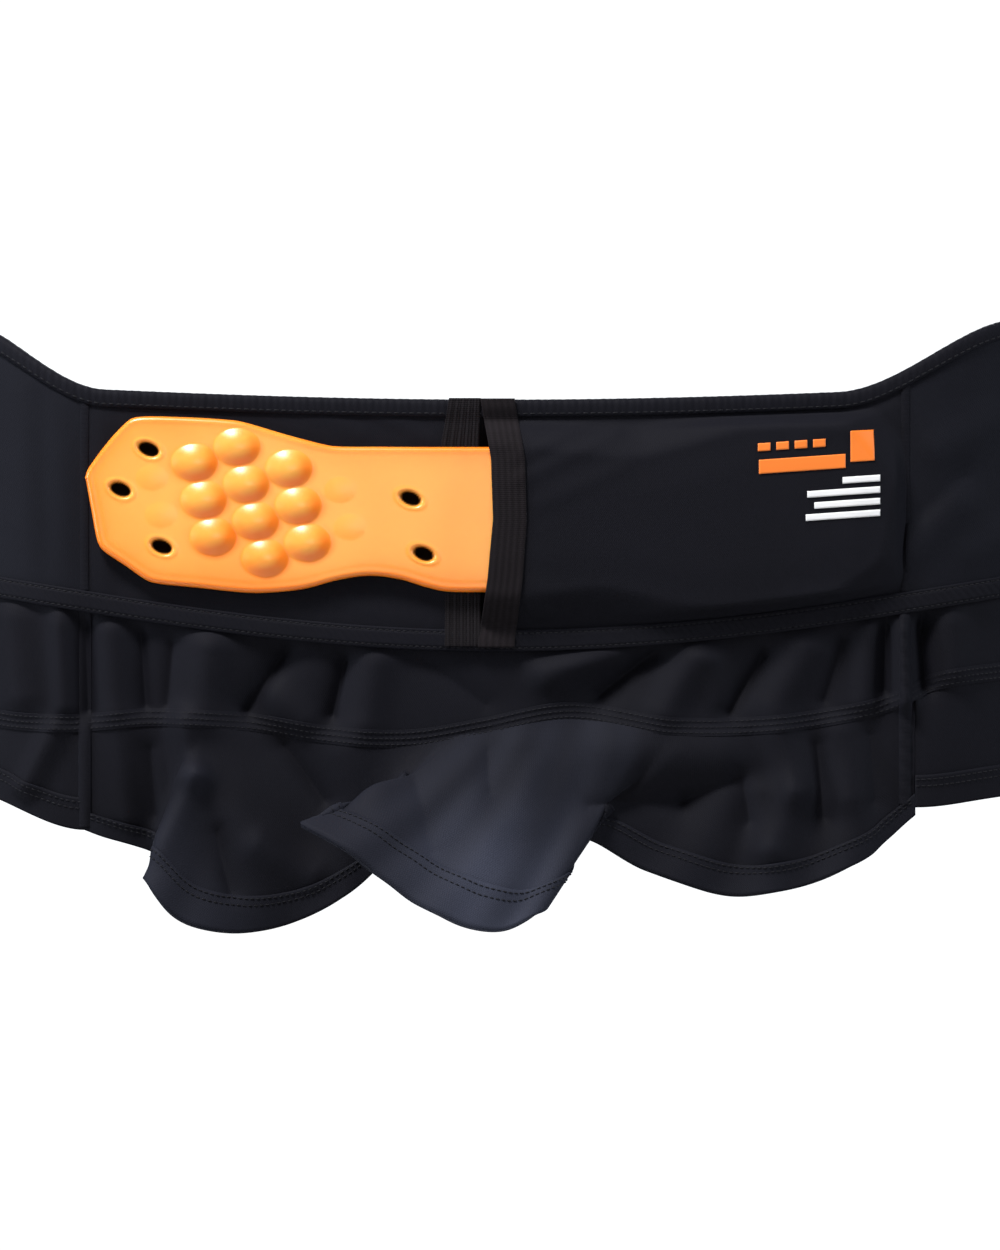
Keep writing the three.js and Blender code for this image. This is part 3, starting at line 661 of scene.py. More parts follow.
def inside_by(x, z):
    """How far a point lies inside the pad's outline, negative outside: the least distance to the
    outline's straight pieces, signed by whether z is between its upper and lower edge."""
    shape = np.broadcast(x, z).shape
    p = np.stack([np.broadcast_to(x, shape).ravel(), np.broadcast_to(z, shape).ravel()], axis=-1)
    start, way = pad_edge[:-2:2], pad_edge[2::2] - pad_edge[:-2:2]
    size = (way**2).sum(-1) + 1e-9

    def nearest(points):
        off = points[:, None, :] - start[None]
        t = np.clip((off * way[None]).sum(-1) / size, 0, 1)
        return np.sqrt(((off - t[..., None] * way[None]) ** 2).sum(-1)).min(axis=1)

    d = np.concatenate([nearest(chunk) for chunk in np.array_split(p, max(1, len(p) // 6000))])
    top = np.interp(p[:, 0], pad_top[:, 0], pad_top[:, 1], left=-999, right=-999)
    low = np.interp(p[:, 0], pad_bottom[:, 0], pad_bottom[:, 1], left=999, right=999)
    return np.where((p[:, 1] < top) & (p[:, 1] > low), d, -d).reshape(shape)


print("pad outline", len(pad_edge), "points")

# %% Pocket fronts
def mouth_x(share):
    """The right mouth's edge bows to the right: -5 + 5 sin(pi share)."""
    return -5 + 5 * np.sin(np.pi * share)


def right_front(x, z):
    """How far the right pocket's front stands out, and its small pulls."""
    low, high = waist_line(x, 0), top_line(x, 0)
    room = smooth((z - low - 3.5) / 6) * smooth((high - z - 7.5) / 6)
    room = room * smooth((RIGHT_END + 1.5 - x) / 7)
    deep = inside_by(x, z)
    body = 9.0 * smooth((deep + 16) / 17) * (0.93 + 0.07 * smooth(deep / 16))
    pulls = creases(x, z, [
        ((8, -24), (34, -10), 2.2, 0.35), ((10, -32), (46, -14), 2.6, 0.45),
        ((16, -42), (50, -27), 3, 0.35), ((12, -84), (44, -92), 3, 0.4), ((14, -74), (40, -84), 3, 0.35),
        ((120, -16), (150, -8), 3, 0.3), ((118, -80), (150, -78), 4, 0.4), ((140, -30), (141, -66), 5, 0.3),
    ])
    return 0.9 + room * (body + 0.5 + pulls)


u, v = np.meshgrid(np.linspace(0, 1, 260), np.linspace(0, 1, 100), indexing="ij")
start_x = mouth_x(v)
rx = start_x + (RIGHT_END - start_x) * u
low, high = waist_line(rx, 0) + 0.3, top_line(rx, 0) - 5
rz = low + (high - low) * v
right_points = np.stack([rx, -right_front(rx, rz), rz], axis=-1)
right_pocket = surface("right_pocket_front", right_points, KNIT, 1.1)
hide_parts("right_pocket_panel")

u, v = np.meshgrid(np.linspace(0, 1, 220), np.linspace(0, 1, 60), indexing="ij")
lx = LEFT_END + (-8.5 - LEFT_END) * u
low, high = waist_line(lx, 0) + 0.3, top_line(lx, 0) - 5
lz = low + (high - low) * v
ease = np.sin(np.pi * v) ** 0.5
left_out = 0.8 + ease * creases(lx, lz, [
    ((-160, -6), (-158, -78), 4, 0.8), ((-150, -81), (-96, -86), 3, 0.6),
    ((-74, -5), (-56, -13), 3, 0.7), ((-60, -4), (-40, -14), 2.5, -0.5),
    ((-50, -5), (-28, -15), 3.5, 0.8), ((-34, -6), (-26, -14), 2.5, -0.4),
    ((-84, -82), (-60, -79), 3, 0.6), ((-56, -84), (-26, -88), 3, 0.5),
])
left_pocket = surface("left_pocket_front", np.stack([lx, -left_out, lz], axis=-1), KNIT, 1.0)
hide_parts("left_pocket_panel")
print("pocket fronts done")

# %% [markdown]
# The mouths are finished differently. The left edge carries a ridged elastic tape, sewn down in five
# lines. The right edge is wrapped in a wider binding, which turns round the edge into the pocket and
# bows because the pad pushes it. Both run from over the top binding to just below the waist seam,
# since they were sewn on last.

# %% Left mouth tape
rows, columns = 150, 71
v, w = np.meshgrid(np.linspace(0, 1, rows), np.linspace(0, 1, columns), indexing="ij")
tz = 0.6 + (-98.6 - 0.6) * v
left_side = np.interp(tz, [-98.6, -79, -18, 0.6], [-22.0, -21.8, -23.4, -20.2])
right_side = np.interp(tz, [-98.6, -79, -18, 0.6], [-7.7, -7.7, -8.4, -7.8])
tx = left_side + (right_side - left_side) * w
over = 1 - smooth((tz + 98.6) / 14) + smooth((tz + 10) / 8)
ty = -(1.62 + 1.3 * over + 0.25 * np.abs(np.sin(5 * np.pi * w)) ** 0.6)
tape = surface("left_mouth_tape", np.stack([tx, ty, tz], axis=-1), TAPE, 0.6, across=True)
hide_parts("left_pocket_edge_tape")
print("tape done")

# %% Right mouth binding
rows, columns = 160, 60
v, w = np.meshgrid(np.linspace(0, 1, rows), np.linspace(0, 1, columns), indexing="ij")
bz = 0.4 + (-99.0 - 0.4) * v
share = np.clip((bz + 96.4) / 96.4, 0, 1)
edge_x = np.interp(bz, [-99, -96, -72, -48, -24, 0], [-8.4, -8.2, -4.6, -2.4, -3.2, -7.4])
width = np.interp(bz, [-99, -48, 0], [14.2, 13.0, 13.2])
# across: the first fifth turns from inside the pocket round the edge, the rest lies on the face
turned = np.clip(w / 0.2, 0, 1)
face = np.clip((w - 0.2) / 0.8, 0, 1)
face_x = np.maximum(edge_x, mouth_x(share)) + 0.5 + width * face
front = np.maximum(right_front(face_x, np.clip(bz, -96, -5)), 0.9)
over = np.maximum(1 - smooth((bz + 99) / 10), smooth((bz + 9) / 7))
front = front + 1.0 + 1.6 * over * (front < 3)
roll = 2.2
bx = edge_x + width * face + roll * (1 - np.sin(np.pi / 2 * turned)) ** 2
by = -(front - roll * (1 - smooth(turned)) + 0.25 * np.sin(np.pi * face) ** 0.5)
binding = surface("right_mouth_binding", np.stack([bx, by, bz], axis=-1), BINDING, 0.8, across=True)
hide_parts("right_pocket_binding")
print("binding done")

# %% [markdown]
# The top edge is bound: a soft elastic tape is folded over both layers and sewn through, and a ribbed
# elastic lies inside the fold. The tape was stretched while it was sewn, so it puckers finely.

# %% Top binding and its elastic
fold = [(-1.7, -6.6), (-2.0, -4), (-2.0, -1.6), (-1.3, -0.5), (0.1, -0.1), (1.5, -0.5), (2.2, -1.6),
        (2.3, -4), (2.0, -6.8)]  # its section, as (outward, up) from the top edge
fold = spline(fold, 22)
swell = np.sin(np.pi * np.linspace(0, 1, 22)) ** 0.5
many_s = np.linspace(0, RING, 2400, endpoint=False)
many = around(many_s)


def waves(pitch):
    """A sine round the ring at about this pitch, with a whole number of waves so that it closes."""
    return np.sin(2 * np.pi * many_s * round(RING / pitch) / RING)


pucker = 0.11 * waves(2.9) + 0.09 * waves(6.7)
out = fold[None, :, 0] + np.sign(fold[None, :, 0]) * pucker[:, None] * swell[None, :]
top = top_line(many[0], many[1])
heights = top[:, None] + fold[None, :, 1] + 0.25 * pucker[:, None]
points = pushed([part[:, None] for part in many], out, heights)
top_binding = surface("top_binding", points, KNIT, 0.6, closed=True)
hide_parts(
    "back_top_binding", "front_top_binding", "left_top_binding", "right_top_binding"
)

core = np.array([(0.35, -4.5), (1.2, -4.5), (1.2, -1.4), (0.35, -1.4)])
ring_centre = np.stack([ring_x, ring_y, ring_top], axis=-1)
ring_out = np.stack([ring_nx, ring_ny, 0 * ring_nx], axis=-1)
up = np.tile([0.0, 0.0, 1.0], (len(ring_s), 1))
elastic = sweep("waist_elastic_core", ring_centre, ring_out, up, core, ELASTIC)
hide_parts("waist_elastic")

stitch_row("top_binding_stitches", many_s, 2.42, top - 5.6, pitch=3.0)
print("top edge done")

# %% [markdown]
# The seam under the waistband joins band and yoke. Its allowance is covered inside by a soft tape
# that is flat-felled over both, with a line of stitches along each side.

# %% Waist seam
def seam_band(name, s, centre_line, half, profile, material, closed):
    """A tape along a line of the ring. profile(t) gives how far it stands out, t from -1 to 1."""
    ring = [part[:, None] for part in around(s)]
    mid = centre_line(ring[0], ring[1])
    t = np.linspace(-1, 1, 33)[None, :]
    out = profile(ring[0], ring[1], t) + 0 * mid
    return surface(name, pushed(ring, out, mid + half * t), material, 0.6, closed=closed)


def waist_seam_profile(x, y, t):
    """A flat tape with a rounded edge and two dents where the stitch lines pull it down."""
    dents = np.exp(-(((np.abs(t) - 0.72) / 0.1) ** 2))
    lumps = 0.12 * np.sin(2 * np.pi * x / 3.1 + 6 * t) * (1 - t**2)
    return 2.1 + 0.55 * (1 - t**6) - 0.4 * dents + lumps


many_ring = np.linspace(0, RING, 1800, endpoint=False)
waist_seam = seam_band("waist_seam", many_ring, waist_line, 4.1, waist_seam_profile, KNIT, True)
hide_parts("back_waist_seam", "front_waist_seam", "left_waist_seam", "right_waist_seam")
sx, sy, _, _ = around(many_ring)
for row, up_by in (("low", -2.95), ("high", 2.95)):
    stitch_row(f"waist_stitches_{row}", many_ring, 2.55, waist_line(sx, sy) + up_by, pitch=2.4)
print("waist seam done")

# %% [markdown]
# ## Yoke
# A narrow strip between the waist seam and the wavy seam over the legs. Nothing holds it flat, so it
# creases: where the legs' weight is not pulling, the cloth buckles into short slanted folds. They are
# a sum of round-backed ridges and pinched valleys, each given as its two ends, width and height.

# %% Folds
YOKE_CREASES = [
    ((-176, -84), (-174, -122), 3.5, 2.4), ((-166, -86), (-165, -124), 4.5, -3.0),
    ((-156, -92), (-154, -124), 5, 2.0), ((-144, -92), (-142, -122), 4, -2.4),
    ((-131, -98), (-133, -122), 4, -1.6), ((-116, -96), (-119, -128), 7, 3.4),
    ((-84, -97), (-101, -124), 6, -4.2), ((-90, -118), (-80, -128), 5, 1.8),
    ((-62, -104), (-67, -126), 5, -3.4), ((-50, -104), (-54, -128), 6, 2.0),
    ((-30, -104), (-6, -122), 8, -1.4), ((20, -110), (46, -99), 6, 3.6),
    ((40, -118), (62, -100), 8, -4.2), ((66, -124), (78, -102), 6, 2.8),
    ((84, -106), (88, -120), 5, 1.4), ((92, -124), (106, -102), 5, -3.2),
    ((110, -122), (122, -100), 6, 2.2), ((130, -120), (138, -96), 5, -2.0),
    ((146, -120), (148, -90), 4, 1.8), ((154, -116), (155, -86), 3.5, -2.4),
    ((162, -120), (160, -84), 3.5, 3.0), ((171, -114), (169, -84), 4, -4.4),
    ((182, -108), (180, -82), 5, 2.0), ((-196, -84), (-192, -118), 6, 2.4),
]
LEG_CREASES = [
    ((-127, -128), (-121, -152), 4.5, 3.2), ((-121, -152), (-136, -180), 4.5, 3.0),
    ((-110, -134), (-108, -166), 8, 1.8), ((-112, -172), (-106, -196), 6, -2.4),
    ((-86, -138), (-70, -160), 10, -3.4), ((-96, -178), (-76, -190), 6, 2.4),
    ((-58, -140), (-50, -156), 8, 2.0), ((-34, -150), (-26, -178), 7, -1.4),
    ((-8, -160), (0, -200), 9, 1.6), ((-5, -140), (-4, -156), 5, -1.2),
    ((8, -140), (10, -166), 7, 1.4), ((46, -140), (86, -143), 10, 3.4),
    ((36, -161), (72, -161), 6, -2.2), ((74, -160), (93, -152), 5.5, -2.4),
    ((97, -151), (100, -168), 5, -1.8), ((104, -158), (105, -178), 5, 1.8),
    ((112, -134), (117, -156), 6, 2.8), ((117, -158), (109, -180), 6, 2.0),
    ((127, -138), (129, -166), 6, -2.0), ((136, -134), (138, -158), 6, 2.0),
    ((148, -134), (150, -160), 6, -1.8), ((-150, -134), (-148, -166), 7, 1.6),
    ((-140, -140), (-138, -166), 5, -1.4), ((-178, -132), (-190, -156), 4, 2.4),
]
ALL_CREASES = YOKE_CREASES + LEG_CREASES


def folds(x, y, z):
    """How far the cloth under the waistband buckles outward: all the creases at the back, and a plain
    wave at the front. It fades to nothing at the waist seam, where the band holds it."""
    held = smooth((waist_line(x, y) - z + 1) / 13)
    back = creases(x, z, ALL_CREASES) * (1 - frontness(y))
    return held * (1.5 * back + 1.6 * np.sin(x / 7.5 + z / 9) * frontness(y))


# %% Yoke
def yoke_push(x, y, z, share):
    """Just inside the ring, with the folds."""
    return -0.6 + folds(x, y, z)


yoke_s = np.linspace(0, RING, 1300, endpoint=False)
yx, yy, _, _ = around(yoke_s)
yoke_points = band(yoke_s, yoke_line(yx, yy), waist_line(yx, yy), 44, yoke_push)
yoke = surface("yoke", yoke_points, KNIT, 1.1, closed=True)
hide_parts("back_yoke", "front_yoke", "left_yoke", "right_yoke")
print("yoke", len(yoke.data.polygons), "faces")

# %% [markdown]
# The yoke's lower seam is a three-row coverstitch that rides over the folds. It is a thin cover with
# three low humps, and the thread is laid on it as geometry, so it stays crisp near the camera.

# %% Yoke seam
def yoke_seam_profile(x, y, t):
    """Three cords of thread under a flat cover: three low humps, thin at the edges."""
    humps = sum(np.exp(-(((t - c) / 0.2) ** 2)) for c in (-0.62, 0, 0.62))
    z = yoke_line(x, y) + 3.6 * t
    lumps = 0.04 * np.sin(2 * np.pi * x / 2.6 + 3 * t)
    return 0.2 + 0.2 * humps * (1 - t**8) + lumps + folds(x + 0 * t, y + 0 * t, z)


yoke_seam = seam_band("yoke_seam", many_ring, yoke_line, 3.6, yoke_seam_profile, KNIT, True)
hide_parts("back_yoke_seam", "front_yoke_seam", "left_yoke_seam", "right_yoke_seam")
for k, height in enumerate((-2.3, 0.0, 2.3)):
    row_z = yoke_line(sx, sy) + height
    lift = 0.66 + folds(sx, sy, row_z)
    stitch_row(f"yoke_stitches_{k}", many_ring, lift, row_z, pitch=2.2, radius=0.2)
print("yoke seam done")

# %% [markdown]
# ## Legs
# The back of the legs is far wider than the seam it hangs from. It is ruffled in, so its hem swings
# out towards the viewer in deep folds: one at the left, a broad flap in the middle that comes through
# from between the legs, and smaller ones at the right. The hem's path is drawn as a curve in space,
# and the cloth falls from the straight seam to it: in plan it follows the hem more the lower it is.

# %% Back of the legs
HEM = [
    (-166, 0.6, -172), (-158, 0.8, -175), (-148, 2, -178), (-131, 3, -184), (-120, 0, -188), (-122, -9, -191),
    (-133, -14, -190), (-139, -20, -191), (-133, -26, -200), (-122, -25, -208), (-106, -18, -212),
    (-84, -9, -209),
    (-63, -4, -199), (-47, -3, -185), (-41, -9, -176), (-52, -18, -170), (-70, -25, -167), (-78, -32, -168),
    (-68, -38, -174), (-48, -41, -187), (-25, -43, -203), (-7, -42, -209), (9, -38, -206), (17, -31, -200),
    (19, -21, -192), (20, -12, -183), (31, -6, -175), (58, -5, -188), (94, -8, -198), (126, -9, -192),
    (147, -6, -182), (158, 0.4, -173), (166, 0.6, -166),
]
N_ALONG, N_UP = 900, 70
hem = spline(HEM, N_ALONG)
v = np.linspace(0, 1, N_UP) ** 0.9
head_x = np.linspace(-165.7, 165.7, N_ALONG)
head = np.stack([head_x, 0 * head_x + 0.4, yoke_line(head_x, 0 * head_x) + 0.2], axis=-1)
pull = (1 - v) ** 1.45
back_points = np.empty((N_ALONG, N_UP, 3))
back_points[..., :2] = head[:, None, :2] + (hem[:, None, :2] - head[:, None, :2]) * pull[None, :, None]
back_points[..., 2] = hem[:, None, 2] + (head[:, None, 2] - hem[:, None, 2]) * v[None, :]

share = np.linspace(0, 1, N_ALONG)[:, None]
free = np.sin(np.pi * np.clip(share * 12, 0, 0.5)) * np.sin(np.pi * np.clip((1 - share) * 12, 0, 0.5))
ripple = (
    2.2 * np.sin(2 * np.pi * (13 * share + 0.35 * np.sin(7 * share)))
    + 0.7 * np.sin(2 * np.pi * (23 * share + 0.5 * np.sin(11 * share)) + 1.3)
)
normal = normals_of(back_points)
normal[..., 1] = np.where(np.abs(normal[..., 1]) > 0, normal[..., 1], -1)
flip = np.where(normal[..., 1:2] > 0, -1.0, 1.0)
dent = folds(back_points[..., 0], 0 * back_points[..., 0], back_points[..., 2]) * smooth(v * 4)[None, :]
amount = ripple * free * ((1 - v) ** 0.8 * np.minimum(1, (1 - v) * 4))[None, :] * 0.55
back_points += normal * amount[..., None] + normal * flip * (dent * free)[..., None]
# Painted light: the middle flap, which tilts up towards the key light, and the folds that swing forward are
# mixed towards the paler knit, with streaks across the flap. This stands in for the light and sheen on these
# folds.
flap = smooth((share - 0.40) * 14) * smooth((0.70 - share) * 16)
middle = np.exp(-(((back_points[..., 0] + 6) / 30) ** 2)) * smooth((-148 - back_points[..., 2]) / 42)
painted_light = flap * (0.16 + 0.72 * middle)
painted_light = painted_light * (1 + 0.22 * np.sin(2 * np.pi * 21 * share + 2.5 * v[None, :]) * v[None, :] ** 0.3)
painted_light = painted_light + 0.22 * (1 - flap) * smooth((-back_points[..., 1] - 6) / 16)
back_legs = surface("back_of_legs", back_points[:, ::-1], KNIT, 1.0, pale=np.clip(painted_light, 0, 1)[:, ::-1])
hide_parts("back_panel")
print("back of the legs", len(back_legs.data.polygons), "faces")

# %% [markdown]
# The hem is turned up once and coverstitched, so a band 13 mm deep lies on the cloth. It repeats the
# cloth's own surface, lifted by a little more than its thickness.

# %% Back hem
HEM_DEEP = 13.0
FACING_US = slice(300, 360)  # columns that face the viewer, to tell which way the normals point
height_up = running(np.linalg.norm(np.diff(back_points, axis=1), axis=2).mean(axis=0))
rows_in = int(np.searchsorted(height_up, HEM_DEEP)) + 1
skin = normals_of(back_points)
skin_out = skin * np.where(np.median(skin[FACING_US, :10, 1]) > 0, -1.0, 1.0)
hem_points = back_points[:, :rows_in] + skin_out[:, :rows_in] * 1.0
# The hem repeats the legs' painted light a little weaker and is a little lighter all over.
hem_painted_light = np.clip(painted_light[:, :rows_in] * 0.9 + 0.05, 0, 1)
back_hem = surface("back_hem_band", hem_points[:, ::-1], KNIT, 0.7, pale=hem_painted_light[:, ::-1])
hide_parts("back_hem")
for k, at in enumerate((rows_in - 2, rows_in - 4)):
    path = hem_points[:, at] + skin_out[:, at] * 0.45
    stitches(f"hem_stitches_{k}", path, skin_out[:, at], pitch=2.4, radius=0.22)
print("hem", rows_in, "rows")

# %% [markdown]
# Round the sides and the front the legs hang straight from the yoke as one strip, with waves that
# grow towards a hem of the same depth. The front is kept plain.

# %% Sides and front of the legs
leg_s = np.linspace(-LEFT_END, RING + LEFT_END, 620)
gx, gy, _, _ = around(leg_s)
leg_share = (leg_s - leg_s[0]) / (leg_s[-1] - leg_s[0])
leg_left = (leg_s[-1] - leg_s) / (leg_s[-1] - leg_s[0])
ends = np.sin(np.pi * np.clip(leg_share * 20, 0, 0.5)) * np.sin(np.pi * np.clip(leg_left * 20, 0, 0.5))


def leg_push(x, y, z, share):
    """The folds under the waistband, and soft upright waves that grow towards the hem."""
    wave = 1.4 * np.sin(x / 8.5 + 0.6) * frontness(y)
    wave = wave + 0.9 * np.sin(y / 6.0 + x / 11) * (1 - frontness(y))
    return -0.6 + folds(x, y, z) * smooth(share * 4) + wave * (1 - share) ** 0.8 * ends[:, None]


leg_points = band(leg_s, side_hem(gx, gy), yoke_line(gx, gy), 40, leg_push)
legs = surface("sides_and_front_of_legs", leg_points, KNIT, 1.1)
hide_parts("left_panel", "right_panel", "front_panel")


def leg_hem_push(x, y, z, share):
    """The hem lies on the lowest 0.3 of the strip, 1.1 mm further out."""
    return leg_push(x, y, z, share * 0.3) + 1.1


leg_low = side_hem(gx, gy)
leg_hem_points = band(leg_s, leg_low + 0.2, leg_low + HEM_DEEP, 14, leg_hem_push)
leg_hem = surface("side_and_front_hem", leg_hem_points, KNIT, 0.6)
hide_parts("left_hem", "right_hem", "front_hem")
for k, up_by in enumerate((11.2, 8.6)):
    row_z = leg_low + up_by
    push = leg_hem_push(gx[:, None], gy[:, None], row_z[:, None], up_by / HEM_DEEP)[:, 0] + 0.4
    stitch_row(f"leg_hem_stitches_{k}", leg_s, push, row_z, pitch=2.4, radius=0.22)
print("legs done")

# %% [markdown]
# Four upright seams join back and front at the sides. Each is a narrow overlocked ridge on the inside
# of the garment, one length on the band and one from the yoke down to the hem.

# %% Upright seams
def upright(name, s, low, high, out, nodes, half, rise, gather=0.0):
    """A narrow ridge along the ring at distance s from low to high: a parabola over its width, plus
    gathers along it, riding on the cloth's folds."""
    t = np.linspace(-1, 1, 17)
    t, z = t[None, :], np.linspace(low, high, 120)[:, None]
    ring = around(s + half * t + 0 * z)
    lift = out + rise * (1 - t**2) + 0.06 * np.sin(2 * np.pi * z / 1.9)
    lift = lift + gather * np.sin(2 * np.pi * z / 6.3 + 1.8 * t)
    lift = lift + folds(ring[0], ring[1], z + 0 * ring[0])
    made = surface(name, pushed(ring, lift, z), KNIT, 0.5)
    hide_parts(*nodes)


FRONT_MIDDLE = RING / 2
for name, s in (("back_right", RIGHT_END), ("back_left", RING + LEFT_END),
                ("front_right", FRONT_MIDDLE - SEAM_AT), ("front_left", FRONT_MIDDLE + SEAM_AT)):
    x, y, _, _ = (float(value) for value in around(s))
    low, high = float(waist_line(x, y)), float(top_line(x, y))
    hem_at = float(side_hem(x, y))
    gather = 0.12 if s == RIGHT_END else 0.0
    upright(f"{name}_upper_seam", s, low + 4, high - 6, 1.5, [f"{name}_band_seam"], 1.6, 0.25)
    upright(f"{name}_lower_seam", s, hem_at + 1, low - 4, 0.35, [f"{name}_seam"], 2.4, 0.8, gather)
print("seams done")

# %% [markdown]
# A gusset joins the legs between the thighs. It is a narrow strip that runs from under the middle
# flap to the front hem, sagging a little.

# %% Gusset
path = spline([(-33, -199), (-22, -200), (10, -195), (50, -181), (75, -168), (89, -162)], 120)
wide = np.linspace(-26, 2, 30)
gz = path[:, None, 1] - 1.6 * np.cos(np.pi * (wide[None, :] + 12) / 28)
gx_y = np.broadcast_arrays(wide[None, :], path[:, None, 0])
gusset_points = np.stack([*gx_y, gz], axis=-1)
gusset_piece = surface("gusset_strip", gusset_points, KNIT, 1.1)
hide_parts("gusset")
print("gusset done")

# %% [markdown]
# ## The pad
# One moulding of soft foam in a bright skin: a flat bone-shaped plate with rounded edges and, on each
# half, ten tall domes, four faint ones and five slanted vents. It is one grid of heights over the
# outline, closed underneath, so edge, domes and vents blend as they would in a mould.

# %% Pad
PAD_FRONT, PAD_REAR, EDGE_ROUND = -6.6, -2.6, 2.2
DOME_AT, STEP_ALONG, STEP_ACROSS = np.array([-99.2, -41.2]), np.array([18.8, -1.2]), np.array([3.7, -14.8])
domes = [(0, j) for j in (-1.5, -0.5, 0.5, 1.5)] + [(i, j) for i in (-1, 1) for j in (-1, 0, 1)]
low_domes = [(i, j) for i in (-2, 2) for j in (-0.5, 0.5)]
VENTS = [(-140, -20), (-151.2, -36), (-134.8, -58.8), (-35.6, -39.6), (-30.4, -61.6)]


def mirror_point(p):
    x = 2 * PAD_MIDDLE - p[0]
    return np.array([x, p[1] - PAD_SINKS * float(smooth((x - PAD_MIDDLE) / 60))])


DOME_SIZE, VENT_SIZE = (9.4, 7.6), (4.4, 2.8)  # half length and half height of their ellipses


def both_halves(steps):
    """The middle of each dome at the given steps, and of its mirror image."""
    for i, j in steps:
        centre = DOME_AT + i * STEP_ALONG + j * STEP_ACROSS
        yield centre
        yield mirror_point(centre)


def vent_distances(x, z):
    """For each vent, the distance from its middle: 1 on the edge of its slanted ellipse."""
    for vent in VENTS:
        for at, tilt in ((np.array(vent), -22), (mirror_point(vent), 22)):
            c, s = math.cos(math.radians(tilt)), math.sin(math.radians(tilt))
            a, b = (x - at[0]) * c + (z - at[1]) * s, -(x - at[0]) * s + (z - at[1]) * c
            yield np.hypot(a / VENT_SIZE[0], b / VENT_SIZE[1])


def pad_height(x, z):
    """The front face: plate, rounded edge, domes and vents, as y in millimetres."""
    deep = np.clip(inside_by(x, z), 0, None)
    near = np.clip(deep, 0, EDGE_ROUND)
    y = PAD_FRONT + EDGE_ROUND - np.sqrt(EDGE_ROUND**2 - (EDGE_ROUND - near) ** 2)
    y = y + 0.06 * np.exp(-(((deep - 3.4) / 1.1) ** 2))  # a faint gutter just inside the edge
    bumps = np.zeros(x.shape)
    for steps, tall, wide in ((domes, 2.7, 1.0), (low_domes, 0.4, 0.7)):
        for at in both_halves(steps):
            r2 = ((x - at[0]) / (DOME_SIZE[0] * wide)) ** 2 + ((z - at[1]) / (DOME_SIZE[1] * wide)) ** 2
            one = tall * np.clip(1 - r2, 0, 1) ** 1.15
            bumps = np.maximum(bumps, one) + 0.12 * np.minimum(bumps, one)
    y = y - bumps
    for r in vent_distances(x, z):
        y = y + 2.6 * (1 - smooth((r - 0.7) / 0.5)) - 0.25 * np.exp(-(((r - 1.35) / 0.2) ** 2))
    return y


def pad_painted_shade(x, z):
    """Painted shade on the pad, 0 to 1, for how the light falls on and through the foam: a deeper
    orange at the edge, as exp(-inside / 5), and on the lower right of each dome, as
    exp(-((r - 0.82) / 0.34)^2)."""
    tone = 0.85 * np.exp(-np.clip(inside_by(x, z), 0, None) / 5)
    for at in both_halves(domes):
        a, b = (x - at[0]) / DOME_SIZE[0], (z - at[1]) / DOME_SIZE[1]
        r = np.hypot(a, b)
        shaded_side = np.clip(0.5 + 0.5 * (a - b) / (r + 0.1), 0, 1)
        tone = np.maximum(tone, (0.25 + 0.75 * shaded_side**1.5) * np.exp(-(((r - 0.82) / 0.34) ** 2)))
    return np.clip(tone, 0, 1)


def vent_mask(x, z):
    """1 inside a vent and 0 outside."""
    mask = np.zeros(x.shape)
    for r in vent_distances(x, z):
        mask = np.maximum(mask, 1 - smooth((r - 0.85) / 0.22))
    return mask


half = (pad_top[-1, 0] - pad_top[0, 0]) / 2
middle = (pad_top[-1, 0] + pad_top[0, 0]) / 2
q = np.concatenate([np.linspace(-1, 0, 430, endpoint=False), np.linspace(0, 1, 180)])
px = middle + half * np.sin(np.pi / 2 * (0.35 * q + 0.65 * np.sign(q) * (1 - (1 - np.abs(q)) ** 1.6)))
up_z = np.interp(px, pad_top[:, 0], pad_top[:, 1])
low_z = np.interp(px, pad_bottom[:, 0], pad_bottom[:, 1])
k = np.linspace(0, 1, 142)
k = k - 0.08 * np.sin(2 * np.pi * k)
front_z = low_z[:, None] + (up_z - low_z)[:, None] * k[None, :]
front_x = px[:, None] + 0 * front_z
front_y = pad_height(front_x, front_z)
r = 1 - np.linspace(0, 1, 12)
r = r + 0.1 * np.sin(2 * np.pi * r)
rear_z = low_z[:, None] + (up_z - low_z)[:, None] * r[None, :]
rear_deep = np.clip(inside_by(px[:, None] + 0 * rear_z, rear_z), 0, 1.2)
rear_y = PAD_REAR - 1.2 + np.sqrt(np.clip(1.44 - (1.2 - rear_deep) ** 2, 0, None))
front_points = np.stack([front_x, front_y, front_z], axis=-1)
rear_points = np.stack([px[:, None] + 0 * rear_z, rear_y, rear_z], axis=-1)
pad_points = np.concatenate([front_points, rear_points], axis=1)
rows, columns, _ = pad_points.shape
faces, _ = grid(np.arange(rows), np.arange(columns + 1), rows, columns)
pad_mesh = mesh_from("impact_pad", pad_points.reshape(-1, 3), faces)
add_values(pad_mesh, "vent", np.concatenate([vent_mask(front_x, front_z), 0 * rear_z], axis=1))
# The pad's painted shade is stored at its vertices as 'tone'. The unseen back is given 0.8.
add_values(pad_mesh, "tone", np.concatenate([pad_painted_shade(front_x, front_z), 0.8 + 0 * rear_z], axis=1))
pad = bpy.data.objects.new("impact_pad", pad_mesh)
scene.collection.objects.link(pad)

PAD, pad_tree, pad_shader = finish_of(
    "pad_foam", "#FF9A2E", 0.34, Subsurface_Weight=0.25, Subsurface_Scale=0.004,
    Specular_IOR_Level=0.5, Coat_Weight=0.25, Coat_Roughness=0.3,
)
place = node(pad_tree, "ShaderNodeTexCoord").outputs["Object"]
up = node(pad_tree, "ShaderNodeSeparateXYZ", links={"Vector": place}).outputs["Z"]
